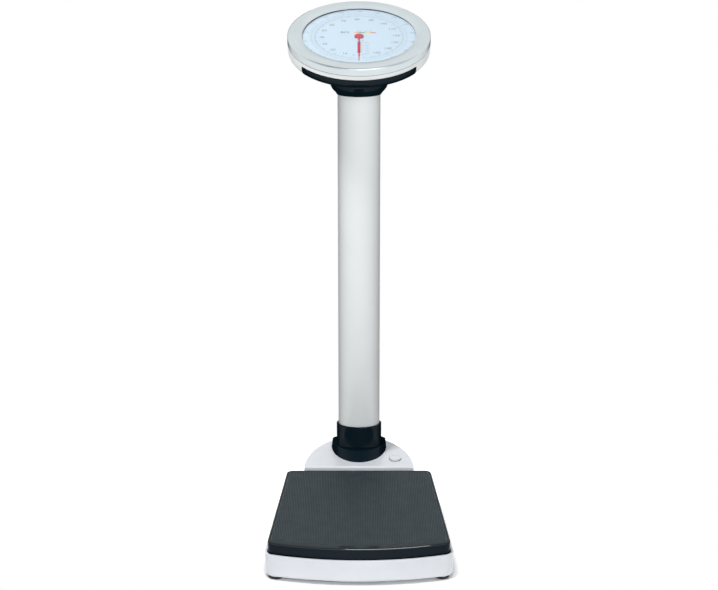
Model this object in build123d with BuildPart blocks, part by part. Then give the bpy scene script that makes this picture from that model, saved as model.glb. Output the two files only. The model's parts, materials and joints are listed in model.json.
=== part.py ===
from build123d import *
import os
from math import acos, atan2, cos, pi, radians, sin, sqrt, tan

os.makedirs("parts", exist_ok=True)

# Overall size, with +Z up, the front at -Y and the origin under the middle of the scale
OVERALL_WIDTH = 360.0
OVERALL_DEPTH = 560.0
OVERALL_HEIGHT = 998.0

# Base housing
FRONT_BOW = 28.0
SIDE_TAPER_DEG = 5.0
SHOULDER_BACK = 190.0
FRONT_CORNER_R = 20.0
SHOULDER_R = 14.0
DECK_HALF_WIDTH = 111.0
DECK_LENGTH = 158.0
BASE_UNDER_Z = 6.0
BASE_WALL = 4.0
BASE_FLOOR_Z = 12.0
BASE_FLOOR_T = 4.0
BASE_TOP_Z = 51.0
BASE_EDGE_R = 6.0
BASE_LIP_R = 1.2
UNDER_RIB_T = 3.0
UNDER_RIB_INSET = 5.0
UNDER_RIB_FRONT = 44.0
UNDER_RIB_REAR = 38.0
UNDER_RIB_ROWS = 4
UNDER_RIB_X = (-88.0, 0.0, 88.0)

# Rear deck
DECK_TOP_Z = 78.0
DECK_WALL = 3.0
DECK_EDGE_R = 3.5
DECK_HOLE_GAP = 1.0
LEVER_NOTCH_W = 56.0
LEVER_NOTCH_TOP = 68.0

# Feet and transport castors
FOOT_R = 15.0
FOOT_FRONT_INSET = (23.0, 40.0)
FOOT_REAR_X = 78.0
FOOT_STEM_R = 4.0
FOOT_CHAMFER = 1.2
CASTOR_R = 20.0
CASTOR_W = 13.0
CASTOR_X = 30.0
CASTOR_INSET = 21.0
CASTOR_LIFT = 2.5
CASTOR_CLEAR = 4.0
CASTOR_FRONT_CLEAR = 3.0
CASTOR_TREAD_R = 2.5
CASTOR_DISH = (14.0, 2.6)
CASTOR_HUB_R = 6.0
CASTOR_HUB_GAP = 0.3
AXLE_R = 3.0
AXLE_OVERHANG = 1.0
CHEEK_T = 3.0
CHEEK_GAP = 1.0
CHEEK_REACH = (15.0, 5.0)
RUNNING_GAP = 0.05
EDGE_BREAK = 0.4

# Platform
PLATFORM_TOP_Z = 74.0
TRAY_INSET = 5.5
TRAY_SKIRT_Z = 44.0
TRAY_T = 3.0
TRAY_REAR_GAP = 8.0
TRAY_CORNER_R = 13.0
TRAY_EDGE_R = 2.4
TRAY_LIP_H = 16.0
TRAY_LIP_STEP = 1.0
TRAY_NOTCH_TOP = 64.0
MAT_T = 1.8
MAT_RECESS = 3.0
MAT_SIDE_RIM = 4.0
MAT_FRONT_RIM = 13.0
MAT_GAP = 0.2
FRAME_T = 3.0
FRAME_INSET = 12.0
FRAME_RIB_T = 3.0
FRAME_RIB_H = 5.0
FRAME_RIB_X = 60.0

# Lever works in the base
LONG_FULCRUM_INSET = 55.0
LONG_FULCRUM_Z = 40.0
SHORT_FULCRUM_INSET = 25.0
SHORT_FULCRUM_Z = 27.0
LOAD_ARM = 60.0
ARM_INSET = 62.0
ARM_T = 8.0
ARM_HALF_H = 10.0
ARM_OVERHANG = 9.0
CROSS_TUBE_R = 7.0
LONG_TUBE_LIFT = 1.0
SHORT_TUBE_DROP = 2.0
BEAM_W = 10.0
BEAM_WEB = 4.0
BEAM_FLANGE = 2.6
BEAM_OVERHANG = 8.0
LONG_BEAM_ROOT = (35.0, 50.0)
LONG_BEAM_NOSE = (52.4, 63.0)
SHORT_BEAM_ROOT = (20.5, 30.5)
SHORT_BEAM_NOSE = (32.5, 38.4)
KNIFE_REACH = 18.0
KNIFE_H = 8.0
NOSE_KNIFE_H = 5.5
KNIFE_HALF_DEG = 30.0
GROOVE_HALF_DEG = 60.0
KNIFE_GAP = 0.08
LINK_KNIFE_STAND = 2.5
BLOCK_GAP = 2.0
BLOCK_W = 16.0
BLOCK_HALF_D = 7.0
BLOCK_H = 8.0
BLOCK_LIP = 3.0
STAND_FOOT_HALF_D = 12.0
RING_BAR = 5.0
RING_SIDE = 4.0
RING_T = 7.0
RING_GAP = 2.5
STIRRUP_TOP_Z = 71.0

# Column and its foot
COLUMN_BACK = 112.0
COLUMN_W = 84.0
COLUMN_D = 52.5
COLUMN_WALL = 2.4
COLUMN_FOOT_Z = 96.0
COLUMN_TOP_DROP = 146.0
SPIGOT_GAP = 0.15
SPIGOT_WALL = 6.0
SPIGOT_LENGTH = 46.0
SOCKET_TOP_Z = 190.0
SOCKET_PLATE = (116.0, 72.0, 7.0)
SOCKET_PLATE_R = 12.0
SOCKET_WINDOW = (38.0, 26.0, 86.0)
BOLT_SPACING = (100.0, 54.0)
BOLT_R = 4.0
BOLT_HEAD = (6.5, 5.0)
SCREW_R = 2.5
FOOT_SCREW_Z = (112.0, 136.0)
NECK_SCREW_DROP = 4.4
SCREW_X = 9.0
SLEEVE_T = 3.5
SLEEVE_GAP = 0.2
SLEEVE_TOP_Z = 143.0
SLEEVE_EDGE_R = 1.0
FLANGE_TOP_Z = 95.5
FLANGE_HALF_W = 56.5
FLANGE_BACK_SHIFT = 27.0
FLANGE_FRONT = 56.5
FLANGE_REAR = 50.0
FLANGE_LEAN = (2.0, 16.5, 3.0)
FLANGE_EDGE_R = 0.8

# Dial head, tilted back to front
HEAD_TILT_DEG = 15.0
BEZEL_R = 137.5
BEZEL_T = 1.0
BEZEL_SIDE = 15.5
BEZEL_ROLL_R = 4.0
BEZEL_FLAT_R = 121.0
BEZEL_GAP = 0.2
WINDOW_R = 109.2
WINDOW_DROP = 2.2
WINDOW_SAG = 0.66
GLASS_T = 1.4
GLASS_R = 116.0
GASKET_T = 2.2
GASKET_W = 5.0
DIAL_T = 1.0
CARRIER_T = 2.5
CARRIER_INNER_R = 108.0
CARRIER_GAP = 0.3
HOUSING_TOP_DEPTH = 4.0
HOUSING_GROOVE = 0.5
HOUSING_STEP = 0.7
HOUSING_WALL = 2.6
HOUSING_CORNER_R = 15.0
HOUSING_FLAT_DEPTH = 57.0
HOUSING_FLAT_R = 86.0
HOUSING_RIM_DEPTH = 42.2
LEDGE_W = 5.0
LEDGE_H = 4.0
BAND_TOP = 24.8
BAND_HALF_DEG = 52.0
BAND_WRAP_DEG = 68.0
BAND_DEPTH = 1.4
BAND_PROUD = 0.7
BAND_END_GAP_DEG = 0.05
NECK_LAP = 14.0
NECK_GROW = 1.6
NECK_TOP_R = 64.0
NECK_WALL = 3.0
NECK_SHIFT = 10.6
NECK_SLACK = 0.2
BRACKET_PLATE_T = 6.0
BRACKET_TOP_R = 58.0
BRACKET_TOP_T = 4.0
BRACKET_CHEEK = (13.0, 17.0)
BRACKET_CHEEK_V = (-20.0, 54.0)
BRACKET_FOOT_HALF = 22.0
BRACKET_OPENING = (24.0, -12.0, 62.0)
ROD_HOLE_R = 6.0
HOUSING_OPENING = (26.0, -10.0, 66.0)
HOUSING_SCREW_AT = (42.0, 32.0)
HOUSING_SCREW_R = 2.0
HOUSING_SCREW_HEAD = (3.6, 2.4)

# Indicating works in the head
GEAR_MODULE = 0.6
PINION_TEETH = 16
DIAL_SPAN_DEG = 354.2
PRESSURE_DEG = 20.0
TOOTH_PLAY = 0.1
ADDENDUM = 0.5
DEDENDUM = 0.72
FLANK_STEPS = 3
PINION_FACE = 6.0
RACK_T = 5.0
RACK_DEPTH = 17.5
RACK_BACK_X = 13.0
RACK_GAPS = (-2, 18)
RACK_END = 0.9
TOOTH_CUT = 0.5
LUG_X = (6.5, 11.5)
LUG_HALF_V = 5.5
LUG_DEPTH = 29.0
CRANK_LONG = 45.0
CRANK_SHORT = 30.0
CRANK_HUB_R = 7.0
CRANK_HUB_HALF = 9.0
CRANK_ARM_R = (5.0, 4.0)
CRANK_PIN_R = 2.0
CRANK_PIN_DEPTH = 20.0
PIVOT_PIN_R = 2.5
PIVOT_PIN_HALF = 20.0
PIN_PLAY = 0.4
ARM_HALF_X = 2.5
FORK_X = (2.2, 4.7)
CLEVIS_T = 3.0
CLEVIS_HALF_W = 8.0
CLEVIS_ABOVE = 6.5
CLEVIS_BELOW = 15.0
CLEVIS_SOCKET = (3.8, 8.0)
PLATE_T = 2.0
PLATE_CORNER_R = 6.0
UPPER_PLATE_DEPTH = 11.4
LOWER_PLATE_DEPTH = 22.0
UPPER_PLATE = (72.0, 64.0)
LOWER_PLATE = (92.0, 116.0, 14.0)
PLATE_WINDOW = (-7.0, 16.0, 17.0, 66.0)
SPACER_AT = (30.0, 26.0)
SPACER_R = 3.0
PILLAR_AT = (40.0, 52.0)
PILLAR_R = 4.0
GUIDE_V = (-28.0, 15.0)
GUIDE_T = 5.0
GUIDE_GAP = 0.12
GUIDE_EDGE_R = 1.0
SPINDLE_R = 1.6
SPINDLE_END_DEPTH = 25.5
BUSH_R = 3.2
BUSH_COLLAR_R = 4.6
BUSH_COLLAR_T = 0.6
DISC_DEPTH = 8.8
DISC_T = 0.5
DISC_R = 72.0
COLLAR_R = 4.0
COLLAR_T = 1.2
POINTER_DEPTH = 5.6
POINTER_T = 0.4
POINTER_LENGTH = 95.0
POINTER_WIDTH = (3.0, 1.0)
CAP_R = 9.0
CAP_T = 0.6
POINTER_EYE_R = 8.0
DIAL_HOLE_R = 3.0
SLOT_HALF_W = 2.9
SLOT_FROM = 20.4
SLOT_TO = 65.0

# Weighing spring and pull rod
SPRING_MEAN_R = 15.0
SPRING_WIRE = 3.4
SPRING_TURNS = 9
SPRING_SEAT_R = 17.2
SPRING_SEAT_T = 2.5
SPRING_PLUG_H = 9.0
SPRING_PLUG_GAP = 0.2
ANCHOR_T = 4.0
ANCHOR_BORE_R = 4.0
ROD_R = 2.0

# Zero adjuster on the rear deck
ZERO_AT = (74.0, 39.0)
ZERO_KNOB_R = 12.0
ZERO_KNOB_H = 4.2
ZERO_KNOB_GAP = 0.2
ZERO_KNOB_EDGE_R = 1.2
ZERO_DISH = (8.4, 0.5)
ZERO_SCREW_R = 3.0
ZERO_NUT = (18.0, 13.0, 10.0)
ZERO_NUT_Z = 43.0
ZERO_BASE = (24.0, 24.0, 3.0)
ZERO_RAIL_T = 3.0
ZERO_RAIL_TOP_Z = 60.0

# Worked out from the sizes above
FRONT_Y = -OVERALL_DEPTH / 2
REAR_Y = OVERALL_DEPTH / 2
SHOULDER_Y = REAR_Y - SHOULDER_BACK
COLUMN_Y = REAR_Y - COLUMN_BACK
COLUMN_TOP_Z = OVERALL_HEIGHT - COLUMN_TOP_DROP
NECK_FOOT_Z = COLUMN_TOP_Z - NECK_LAP
NECK_SCREW_Z = COLUMN_TOP_Z - NECK_SCREW_DROP
FOOT_FRONT = (OVERALL_WIDTH / 2 - FOOT_FRONT_INSET[0], FRONT_Y + FOOT_FRONT_INSET[1])
FOOT_REAR = (FOOT_REAR_X, COLUMN_Y)
RIB_ROW_Y = (FRONT_Y + UNDER_RIB_FRONT, SHOULDER_Y - UNDER_RIB_REAR)
UNDER_RIB_PITCH = (RIB_ROW_Y[1] - RIB_ROW_Y[0]) / (UNDER_RIB_ROWS - 1)
UNDER_RIB_Y = [RIB_ROW_Y[0] + UNDER_RIB_PITCH * row for row in range(UNDER_RIB_ROWS)]
CASTOR_Y = SHOULDER_Y + DECK_LENGTH - CASTOR_INSET
CHEEK_FRONT_Y = CASTOR_Y - CHEEK_REACH[0]
CHEEK_REAR_Y = CASTOR_Y + CHEEK_REACH[1]
TRAY_REAR_Y = SHOULDER_Y - TRAY_REAR_GAP
LONG_FULCRUM = (FRONT_Y + LONG_FULCRUM_INSET, LONG_FULCRUM_Z)
SHORT_FULCRUM = (SHOULDER_Y - SHORT_FULCRUM_INSET, SHORT_FULCRUM_Z)
ARM_X = OVERALL_WIDTH / 2 - ARM_INSET
ZERO_POS = (ZERO_AT[0], COLUMN_Y - ZERO_AT[1])
TAPER = tan(radians(SIDE_TAPER_DEG))
CASTOR_Z = CASTOR_LIFT + CASTOR_R
CHEEK_X = CASTOR_W / 2 + CHEEK_GAP
TRAY_PLATE_TOP_Z = PLATFORM_TOP_Z - MAT_RECESS
FRAME_TOP_Z = TRAY_PLATE_TOP_Z - TRAY_T
FRAME_UNDER_Z = FRAME_TOP_Z - FRAME_T
SPIGOT_SHRINK = -COLUMN_WALL - SPIGOT_GAP
COLUMN_CENTRE = (0, COLUMN_Y)
SPRING_PLUG_R = SPRING_MEAN_R - SPRING_WIRE / 2 - SPRING_PLUG_GAP
SPRING_FOOT_Z = STIRRUP_TOP_Z + SPRING_SEAT_T

TILT = radians(HEAD_TILT_DEG)
HOUSING_R = BEZEL_R - BEZEL_T + HOUSING_STEP - BEZEL_GAP
HOUSING_TOP_R = HOUSING_R - HOUSING_STEP
HOUSING_SLOPE = (HOUSING_FLAT_DEPTH - HOUSING_RIM_DEPTH) / (HOUSING_R - HOUSING_FLAT_R)
HOUSING_TURN = pi / 4 - atan2(HOUSING_SLOPE, 1) / 2
HOUSING_ROLL_DEPTH = HOUSING_RIM_DEPTH - HOUSING_CORNER_R * tan(HOUSING_TURN)
HOUSING_ROLL_R = HOUSING_R - HOUSING_CORNER_R
HEAD_REACH = HOUSING_ROLL_R * cos(TILT) + HOUSING_ROLL_DEPTH * sin(TILT) + HOUSING_CORNER_R
HEAD_RISE = (BEZEL_R - BEZEL_ROLL_R) * sin(TILT) + BEZEL_ROLL_R * (1 - cos(TILT))
HEAD_N = Vector(0, -sin(TILT), cos(TILT))
HEAD_U = Vector(0, cos(TILT), sin(TILT))
HEAD_O = Vector(0, REAR_Y - HEAD_REACH, OVERALL_HEIGHT - HEAD_RISE)
DIAL_PLANE = Plane(origin=HEAD_O, x_dir=(1, 0, 0), z_dir=HEAD_N)
DIAL_AXIS = Axis(HEAD_O, HEAD_N)
GLASS_TOP = WINDOW_DROP + BEZEL_T
GLASS_UNDER = GLASS_TOP + GLASS_T
DIAL_TOP = GLASS_UNDER + GASKET_T
DIAL_UNDER = DIAL_TOP + DIAL_T
CARRIER_UNDER = DIAL_UNDER + CARRIER_T
HOUSING_FLOOR_DEPTH = HOUSING_FLAT_DEPTH - HOUSING_WALL

PITCH_R = GEAR_MODULE * PINION_TEETH / 2
TOOTH_PITCH = pi * GEAR_MODULE
RACK_TRAVEL = PITCH_R * radians(DIAL_SPAN_DEG)
CRANK_SWING = RACK_TRAVEL / CRANK_LONG
ROD_TRAVEL = CRANK_SWING * CRANK_SHORT
LONG_REACH = COLUMN_Y - LONG_FULCRUM[0]
LEVER_SWING = ROD_TRAVEL / LONG_REACH
LINK_REACH = (SHORT_FULCRUM[0] - LONG_FULCRUM[0]) / 2
LINK_Y = LONG_FULCRUM[0] + LINK_REACH
REST_RISE = sin(LEVER_SWING / 2)

PIVOT_DEPTH = CRANK_PIN_DEPTH + CRANK_LONG
PIVOT_Y = COLUMN_Y + CRANK_SHORT
PIVOT_V = (PIVOT_Y - HEAD_O.Y - PIVOT_DEPTH * sin(TILT)) / cos(TILT)
PIVOT = HEAD_O - HEAD_N * PIVOT_DEPTH + HEAD_U * PIVOT_V
REST_TURN = -CRANK_SWING / 2
ROD_PIN = (PIVOT.Y - CRANK_SHORT * cos(REST_TURN), PIVOT.Z - CRANK_SHORT * sin(REST_TURN))
RACK_PIN = (
    PIVOT.Y - CRANK_LONG * sin(TILT + REST_TURN),
    PIVOT.Z + CRANK_LONG * cos(TILT + REST_TURN),
)
SLOT_WIDTH = 2 * (CRANK_PIN_R + PIN_PLAY)
FOOT_SCREWS = [(0.0, side, z) for side in (-1, 1) for z in FOOT_SCREW_Z]
NECK_SCREWS = [(x, 1, NECK_SCREW_Z) for x in (-SCREW_X, SCREW_X)]
HOUSING_SCREW_PLACES = [
    (side * HOUSING_SCREW_AT[0], NECK_SHIFT + step * HOUSING_SCREW_AT[1])
    for side in (-1, 1)
    for step in (-1, 0, 1)
]
BASE_ALIGN = (Align.CENTER, Align.CENTER, Align.MIN)


def save(part, name):
    part.label = name
    export_step(part, f"parts/{name}.step")


def box_between(low, high, mode=Mode.ADD):
    """A box from its lowest to its highest corner."""
    with Locations(tuple((a + b) / 2 for a, b in zip(low, high))):
        Box(*(b - a for a, b in zip(low, high)), mode=mode)


def prism_x(points, x_low, x_high, mode=Mode.ADD):
    """A side outline of (y, z) points, extruded across the scale."""
    with BuildSketch(Plane.YZ.offset(x_low)) as profile:
        with BuildLine():
            Polyline(*points, close=True)
        make_face()
    extrude(profile.sketch, amount=x_high - x_low, mode=mode)


def rod_x(y, z, radius, x_low, x_high, mode=Mode.ADD):
    """A round bar along X."""
    with BuildSketch(Plane.YZ.offset(x_low)) as profile:
        with Locations((y, z)):
            Circle(radius)
    extrude(profile.sketch, amount=x_high - x_low, mode=mode)


def mirrored_x(low, high):
    """The X spans of a pair of pieces, right and left."""
    return ((low, high), (-high, -low))


def half_width(y, inset=0.0):
    """Half the width of the tapered base at a depth y."""
    return OVERALL_WIDTH / 2 - TAPER * (y - FRONT_Y - FRONT_BOW) - inset


def bowed_outline(inset, front_inset, rear_y, front_r, rear_r):
    """Bowed front, tapered sides and a straight rear edge."""
    front = FRONT_Y + front_inset
    front_side = front + FRONT_BOW
    with BuildSketch() as outline:
        with BuildLine():
            a = (-half_width(front_side, inset), front_side)
            b = (half_width(front_side, inset), front_side)
            c = (half_width(rear_y, inset), rear_y)
            d = (-half_width(rear_y, inset), rear_y)
            ThreePointArc(a, (0, front), b)
            Polyline(b, c, d, a)
        make_face()
        corners = outline.vertices().sort_by(Axis.Y)
        fillet(corners[:2], front_r)
        fillet(outline.vertices().sort_by(Axis.Y)[-2:], rear_r)
    return outline.sketch


def base_outline(inset):
    """Outline of the base housing, with the rounded rear deck."""
    shoulder = SHOULDER_Y - inset
    with BuildSketch() as outline:
        add(bowed_outline(inset, inset, shoulder, FRONT_CORNER_R - inset, SHOULDER_R - inset))
        with Locations((0, SHOULDER_Y)):
            Ellipse(DECK_HALF_WIDTH - inset, DECK_LENGTH - inset)
    return outline.sketch


def deck_outline(inset, front_y):
    """The rear deck: half an ellipse behind a straight front edge."""
    with BuildSketch() as outline:
        with Locations((0, SHOULDER_Y)):
            Ellipse(DECK_HALF_WIDTH - inset, DECK_LENGTH - inset)
        with Locations((0, front_y - DECK_LENGTH)):
            Rectangle(4 * DECK_HALF_WIDTH, 2 * DECK_LENGTH, mode=Mode.SUBTRACT)
    return outline.sketch


def tray_outline(inset):
    """Outline of the platform tray, inset all round."""
    return bowed_outline(
        TRAY_INSET + inset,
        TRAY_INSET + inset,
        TRAY_REAR_Y - inset,
        TRAY_CORNER_R - min(inset, TRAY_CORNER_R / 2),
        TRAY_CORNER_R - min(inset, TRAY_CORNER_R / 2),
    )


def mat_outline(inset):
    """Outline of the mat, well behind the tray's front edge."""
    side = TRAY_INSET + MAT_SIDE_RIM + inset
    front = TRAY_INSET + MAT_FRONT_RIM + inset
    rear = TRAY_REAR_Y - MAT_SIDE_RIM - inset
    corner = TRAY_CORNER_R - MAT_SIDE_RIM - inset
    return bowed_outline(side, front, rear, corner, corner)


def column_outline(grow):
    """The column's oval section, grown or shrunk all round."""
    with BuildSketch() as outline:
        with Locations(COLUMN_CENTRE):
            Ellipse(COLUMN_W / 2 + grow, COLUMN_D / 2 + grow)
    return outline.sketch


def screw_face(x, side, grow):
    """The depth of the column's front (side -1) or rear face at x, with its section grown."""
    share = sqrt(1 - (x / (COLUMN_W / 2 + grow)) ** 2)
    return COLUMN_Y + side * (COLUMN_D / 2 + grow) * share


def screw_bores(screws):
    """Bores for the column's set screws, from outside to inside the wall."""
    for x, side, z in screws:
        with Locations(Location((x, screw_face(x, side, 0), z), (90, 0, 0))):
            Cylinder(SCREW_R, COLUMN_D / 2, mode=Mode.SUBTRACT)


def extrude_outline(outline, z_low, z_high, mode=Mode.ADD):
    """A plan outline, extruded from one height to another."""
    with BuildSketch(Plane.XY.offset(z_low)) as profile:
        add(outline)
    extrude(profile.sketch, amount=z_high - z_low, mode=mode)


def dial_plane(depth):
    """A plane parallel to the dial, at a depth below the bezel's face."""
    return DIAL_PLANE.offset(-depth)


def dial_point(x, v, depth):
    """The place of a point given across, up and below the dial."""
    return HEAD_O + Vector(x, 0, 0) + HEAD_U * v - HEAD_N * depth


def section_plane(angle=0.0):
    """A plane through the dial's axis: x is the radius, y the height."""
    turn = radians(angle)
    across = Vector(1, 0, 0)
    x_dir = across * cos(turn) + HEAD_U * sin(turn)
    return Plane(origin=HEAD_O, x_dir=x_dir, z_dir=across * sin(turn) - HEAD_U * cos(turn))


def turned(points, mode=Mode.ADD):
    """A full ring or disc about the dial's axis, from (radius, depth) points."""
    with BuildSketch(section_plane()) as profile:
        with BuildLine():
            Polyline(*((r, -depth) for r, depth in points), close=True)
        make_face()
    revolve(profile.sketch, axis=DIAL_AXIS, mode=mode)


def dial_block(x_span, v_span, depth_span, mode=Mode.ADD):
    """A block square to the dial, between two depths."""
    with BuildSketch(dial_plane(depth_span[1])) as profile:
        with Locations((sum(x_span) / 2, sum(v_span) / 2)):
            Rectangle(x_span[1] - x_span[0], v_span[1] - v_span[0])
    extrude(profile.sketch, amount=depth_span[1] - depth_span[0], mode=mode)


def dial_post(x, v, radius, depth_span, mode=Mode.ADD):
    """A round post square to the dial, between two depths."""
    with BuildSketch(dial_plane(depth_span[1])) as profile:
        with Locations((x, v)):
            Circle(radius)
    extrude(profile.sketch, amount=depth_span[1] - depth_span[0], mode=mode)


# Base housing: one moulded tub with ribs below the floor
with BuildPart() as base_housing:
    extrude_outline(base_outline(0), BASE_UNDER_Z, BASE_TOP_Z)
    fillet(base_housing.faces().sort_by(Axis.Z)[0].edges(), BASE_EDGE_R)
    fillet(base_housing.faces().sort_by(Axis.Z)[-1].edges(), BASE_LIP_R)
    extrude_outline(base_outline(BASE_WALL), BASE_FLOOR_Z, 2 * BASE_TOP_Z, Mode.SUBTRACT)
    floor_under_z = BASE_FLOOR_Z - BASE_FLOOR_T
    extrude_outline(base_outline(BASE_WALL + BASE_EDGE_R), 0, floor_under_z, Mode.SUBTRACT)
    with BuildSketch(Plane.XY.offset(BASE_UNDER_Z)):
        for y in UNDER_RIB_Y:
            with Locations((0, y)):
                Rectangle(2 * half_width(y, UNDER_RIB_INSET), UNDER_RIB_T)
        for x in UNDER_RIB_X:
            with Locations((x, (UNDER_RIB_Y[0] + UNDER_RIB_Y[-1]) / 2)):
                Rectangle(UNDER_RIB_T, UNDER_RIB_Y[-1] - UNDER_RIB_Y[0])
        for x, y in (FOOT_FRONT, FOOT_REAR):
            with Locations((x, y), (-x, y)):
                Circle(FOOT_R)
    extrude(amount=floor_under_z - BASE_UNDER_Z)
    for x, y in (FOOT_FRONT, FOOT_REAR):
        with Locations((x, y, 0), (-x, y, 0)):
            Cylinder(FOOT_STEM_R, 4 * BASE_FLOOR_Z, mode=Mode.SUBTRACT)
    with GridLocations(*BOLT_SPACING, 2, 2):
        with Locations(COLUMN_CENTRE):
            Cylinder(BOLT_R, 4 * BASE_FLOOR_Z, mode=Mode.SUBTRACT)
    for x in (CASTOR_X, -CASTOR_X):
        box_between(
            (x - CHEEK_X, CASTOR_Y - CASTOR_R - CASTOR_FRONT_CLEAR, 0),
            (x + CHEEK_X, CASTOR_Y + 2 * CASTOR_R, CASTOR_Z + CASTOR_R + CASTOR_CLEAR),
            Mode.SUBTRACT,
        )
save(base_housing.part, "base_housing")

# Rear deck: a moulded cap on the back of the housing, open below
with BuildPart() as rear_deck_cover:
    extrude_outline(deck_outline(0, SHOULDER_Y), BASE_TOP_Z, DECK_TOP_Z)
    fillet(rear_deck_cover.faces().sort_by(Axis.Z)[-1].edges(), DECK_EDGE_R)
    inner = deck_outline(DECK_WALL, SHOULDER_Y + DECK_WALL)
    extrude_outline(inner, BASE_TOP_Z, DECK_TOP_Z - DECK_WALL, Mode.SUBTRACT)
    box_between(
        (-LEVER_NOTCH_W / 2, SHOULDER_Y - 1, BASE_TOP_Z),
        (LEVER_NOTCH_W / 2, SHOULDER_Y + 2 * DECK_WALL, LEVER_NOTCH_TOP),
        Mode.SUBTRACT,
    )
    hole_z = (DECK_TOP_Z - 2 * DECK_WALL, DECK_TOP_Z + DECK_WALL)
    extrude_outline(column_outline(DECK_HOLE_GAP), *hole_z, Mode.SUBTRACT)
    with Locations((*ZERO_POS, DECK_TOP_Z)):
        Cylinder(ZERO_SCREW_R + RUNNING_GAP, 4 * DECK_WALL, mode=Mode.SUBTRACT)
save(rear_deck_cover.part, "rear_deck_cover")

# Four rubber feet, each on a stem pushed into the housing floor
FOOT_PLACES = {
    "foot_front_right": FOOT_FRONT,
    "foot_front_left": (-FOOT_FRONT[0], FOOT_FRONT[1]),
    "foot_rear_right": FOOT_REAR,
    "foot_rear_left": (-FOOT_REAR[0], FOOT_REAR[1]),
}
for foot_name, (x, y) in FOOT_PLACES.items():
    with BuildPart() as foot:
        with Locations((x, y, 0)):
            Cylinder(FOOT_R, BASE_UNDER_Z, align=BASE_ALIGN)
            Cylinder(FOOT_STEM_R, BASE_FLOOR_Z, align=BASE_ALIGN)
        chamfer(foot.faces().sort_by(Axis.Z)[0].edges(), FOOT_CHAMFER)
    save(foot.part, foot_name)

# Transport castors: two wheels on one axle, carried by four cheeks
with BuildPart() as castor_brackets:
    for x in (CASTOR_X, -CASTOR_X):
        for low in (x - CHEEK_X - CHEEK_T, x + CHEEK_X):
            box_between(
                (low, CHEEK_FRONT_Y, BASE_FLOOR_Z),
                (low + CHEEK_T, CHEEK_REAR_Y, CASTOR_Z + AXLE_R + CHEEK_T),
            )
    rod_x(CASTOR_Y, CASTOR_Z, AXLE_R, -2 * CASTOR_X, 2 * CASTOR_X, Mode.SUBTRACT)
save(castor_brackets.part, "castor_brackets")

with BuildPart() as castor_axle:
    reach = CASTOR_X + CHEEK_X + CHEEK_T + AXLE_OVERHANG
    rod_x(CASTOR_Y, CASTOR_Z, AXLE_R, -reach, reach)
    chamfer(castor_axle.edges().filter_by(GeomType.CIRCLE), EDGE_BREAK)
save(castor_axle.part, "castor_axle")

for wheel_name, x in (("castor_wheel_right", CASTOR_X), ("castor_wheel_left", -CASTOR_X)):
    with BuildPart() as wheel:
        rod_x(CASTOR_Y, CASTOR_Z, CASTOR_R, x - CASTOR_W / 2, x + CASTOR_W / 2)
        fillet(wheel.edges().filter_by(GeomType.CIRCLE), CASTOR_TREAD_R)
        for side in (-1, 1):
            face_x = x + side * CASTOR_W / 2
            recess = sorted((face_x, face_x - side * CASTOR_DISH[1]))
            rod_x(CASTOR_Y, CASTOR_Z, CASTOR_DISH[0], *recess, Mode.SUBTRACT)
        hub_half = CHEEK_X - CASTOR_HUB_GAP
        rod_x(CASTOR_Y, CASTOR_Z, CASTOR_HUB_R, x - hub_half, x + hub_half)
        bore = AXLE_R + RUNNING_GAP
        rod_x(CASTOR_Y, CASTOR_Z, bore, x - CHEEK_X, x + CHEEK_X, Mode.SUBTRACT)
    save(wheel.part, wheel_name)

# Platform: a moulded tray over a steel frame, with a rubber mat let into its top
with BuildPart() as platform_tray:
    extrude_outline(tray_outline(0), TRAY_SKIRT_Z, PLATFORM_TOP_Z)
    fillet(platform_tray.faces().sort_by(Axis.Z)[-1].edges(), TRAY_EDGE_R)
    lip_z = PLATFORM_TOP_Z - TRAY_LIP_H
    with BuildSketch(Plane.XY.offset(TRAY_SKIRT_Z)):
        add(tray_outline(-TRAY_INSET / 2))
        add(tray_outline(TRAY_LIP_STEP), mode=Mode.SUBTRACT)
    extrude(amount=lip_z - TRAY_SKIRT_Z, mode=Mode.SUBTRACT)
    extrude_outline(tray_outline(TRAY_T), TRAY_SKIRT_Z, FRAME_TOP_Z, Mode.SUBTRACT)
    extrude_outline(mat_outline(0), TRAY_PLATE_TOP_Z, 2 * PLATFORM_TOP_Z, Mode.SUBTRACT)
    box_between(
        (-LEVER_NOTCH_W / 2, TRAY_REAR_Y - 2 * TRAY_T, TRAY_SKIRT_Z),
        (LEVER_NOTCH_W / 2, SHOULDER_Y, TRAY_NOTCH_TOP),
        Mode.SUBTRACT,
    )
save(platform_tray.part, "platform_tray")

with BuildPart() as rubber_mat:
    extrude_outline(mat_outline(MAT_GAP), TRAY_PLATE_TOP_Z, TRAY_PLATE_TOP_Z + MAT_T)
    chamfer(rubber_mat.faces().sort_by(Axis.Z)[-1].edges(), MAT_T / 4)
save(rubber_mat.part, "rubber_mat")


def load_edge(fulcrum, toward):
    """The (y, z) of a lever's load edge at rest."""
    return (fulcrum[0] + toward * LOAD_ARM, fulcrum[1] + LOAD_ARM * REST_RISE)


LONG_LOAD = load_edge(LONG_FULCRUM, 1)
SHORT_LOAD = load_edge(SHORT_FULCRUM, -1)
LONG_NOSE = (COLUMN_Y, LONG_FULCRUM[1] + LONG_REACH * REST_RISE)
SHORT_NOSE = (LINK_Y, SHORT_FULCRUM[1] + LINK_REACH * REST_RISE)
BLOCK_X = (ARM_X + ARM_T + BLOCK_GAP, ARM_X + ARM_T + BLOCK_GAP + BLOCK_W)
BLOCK_PAIR = mirrored_x(*BLOCK_X)


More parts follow.
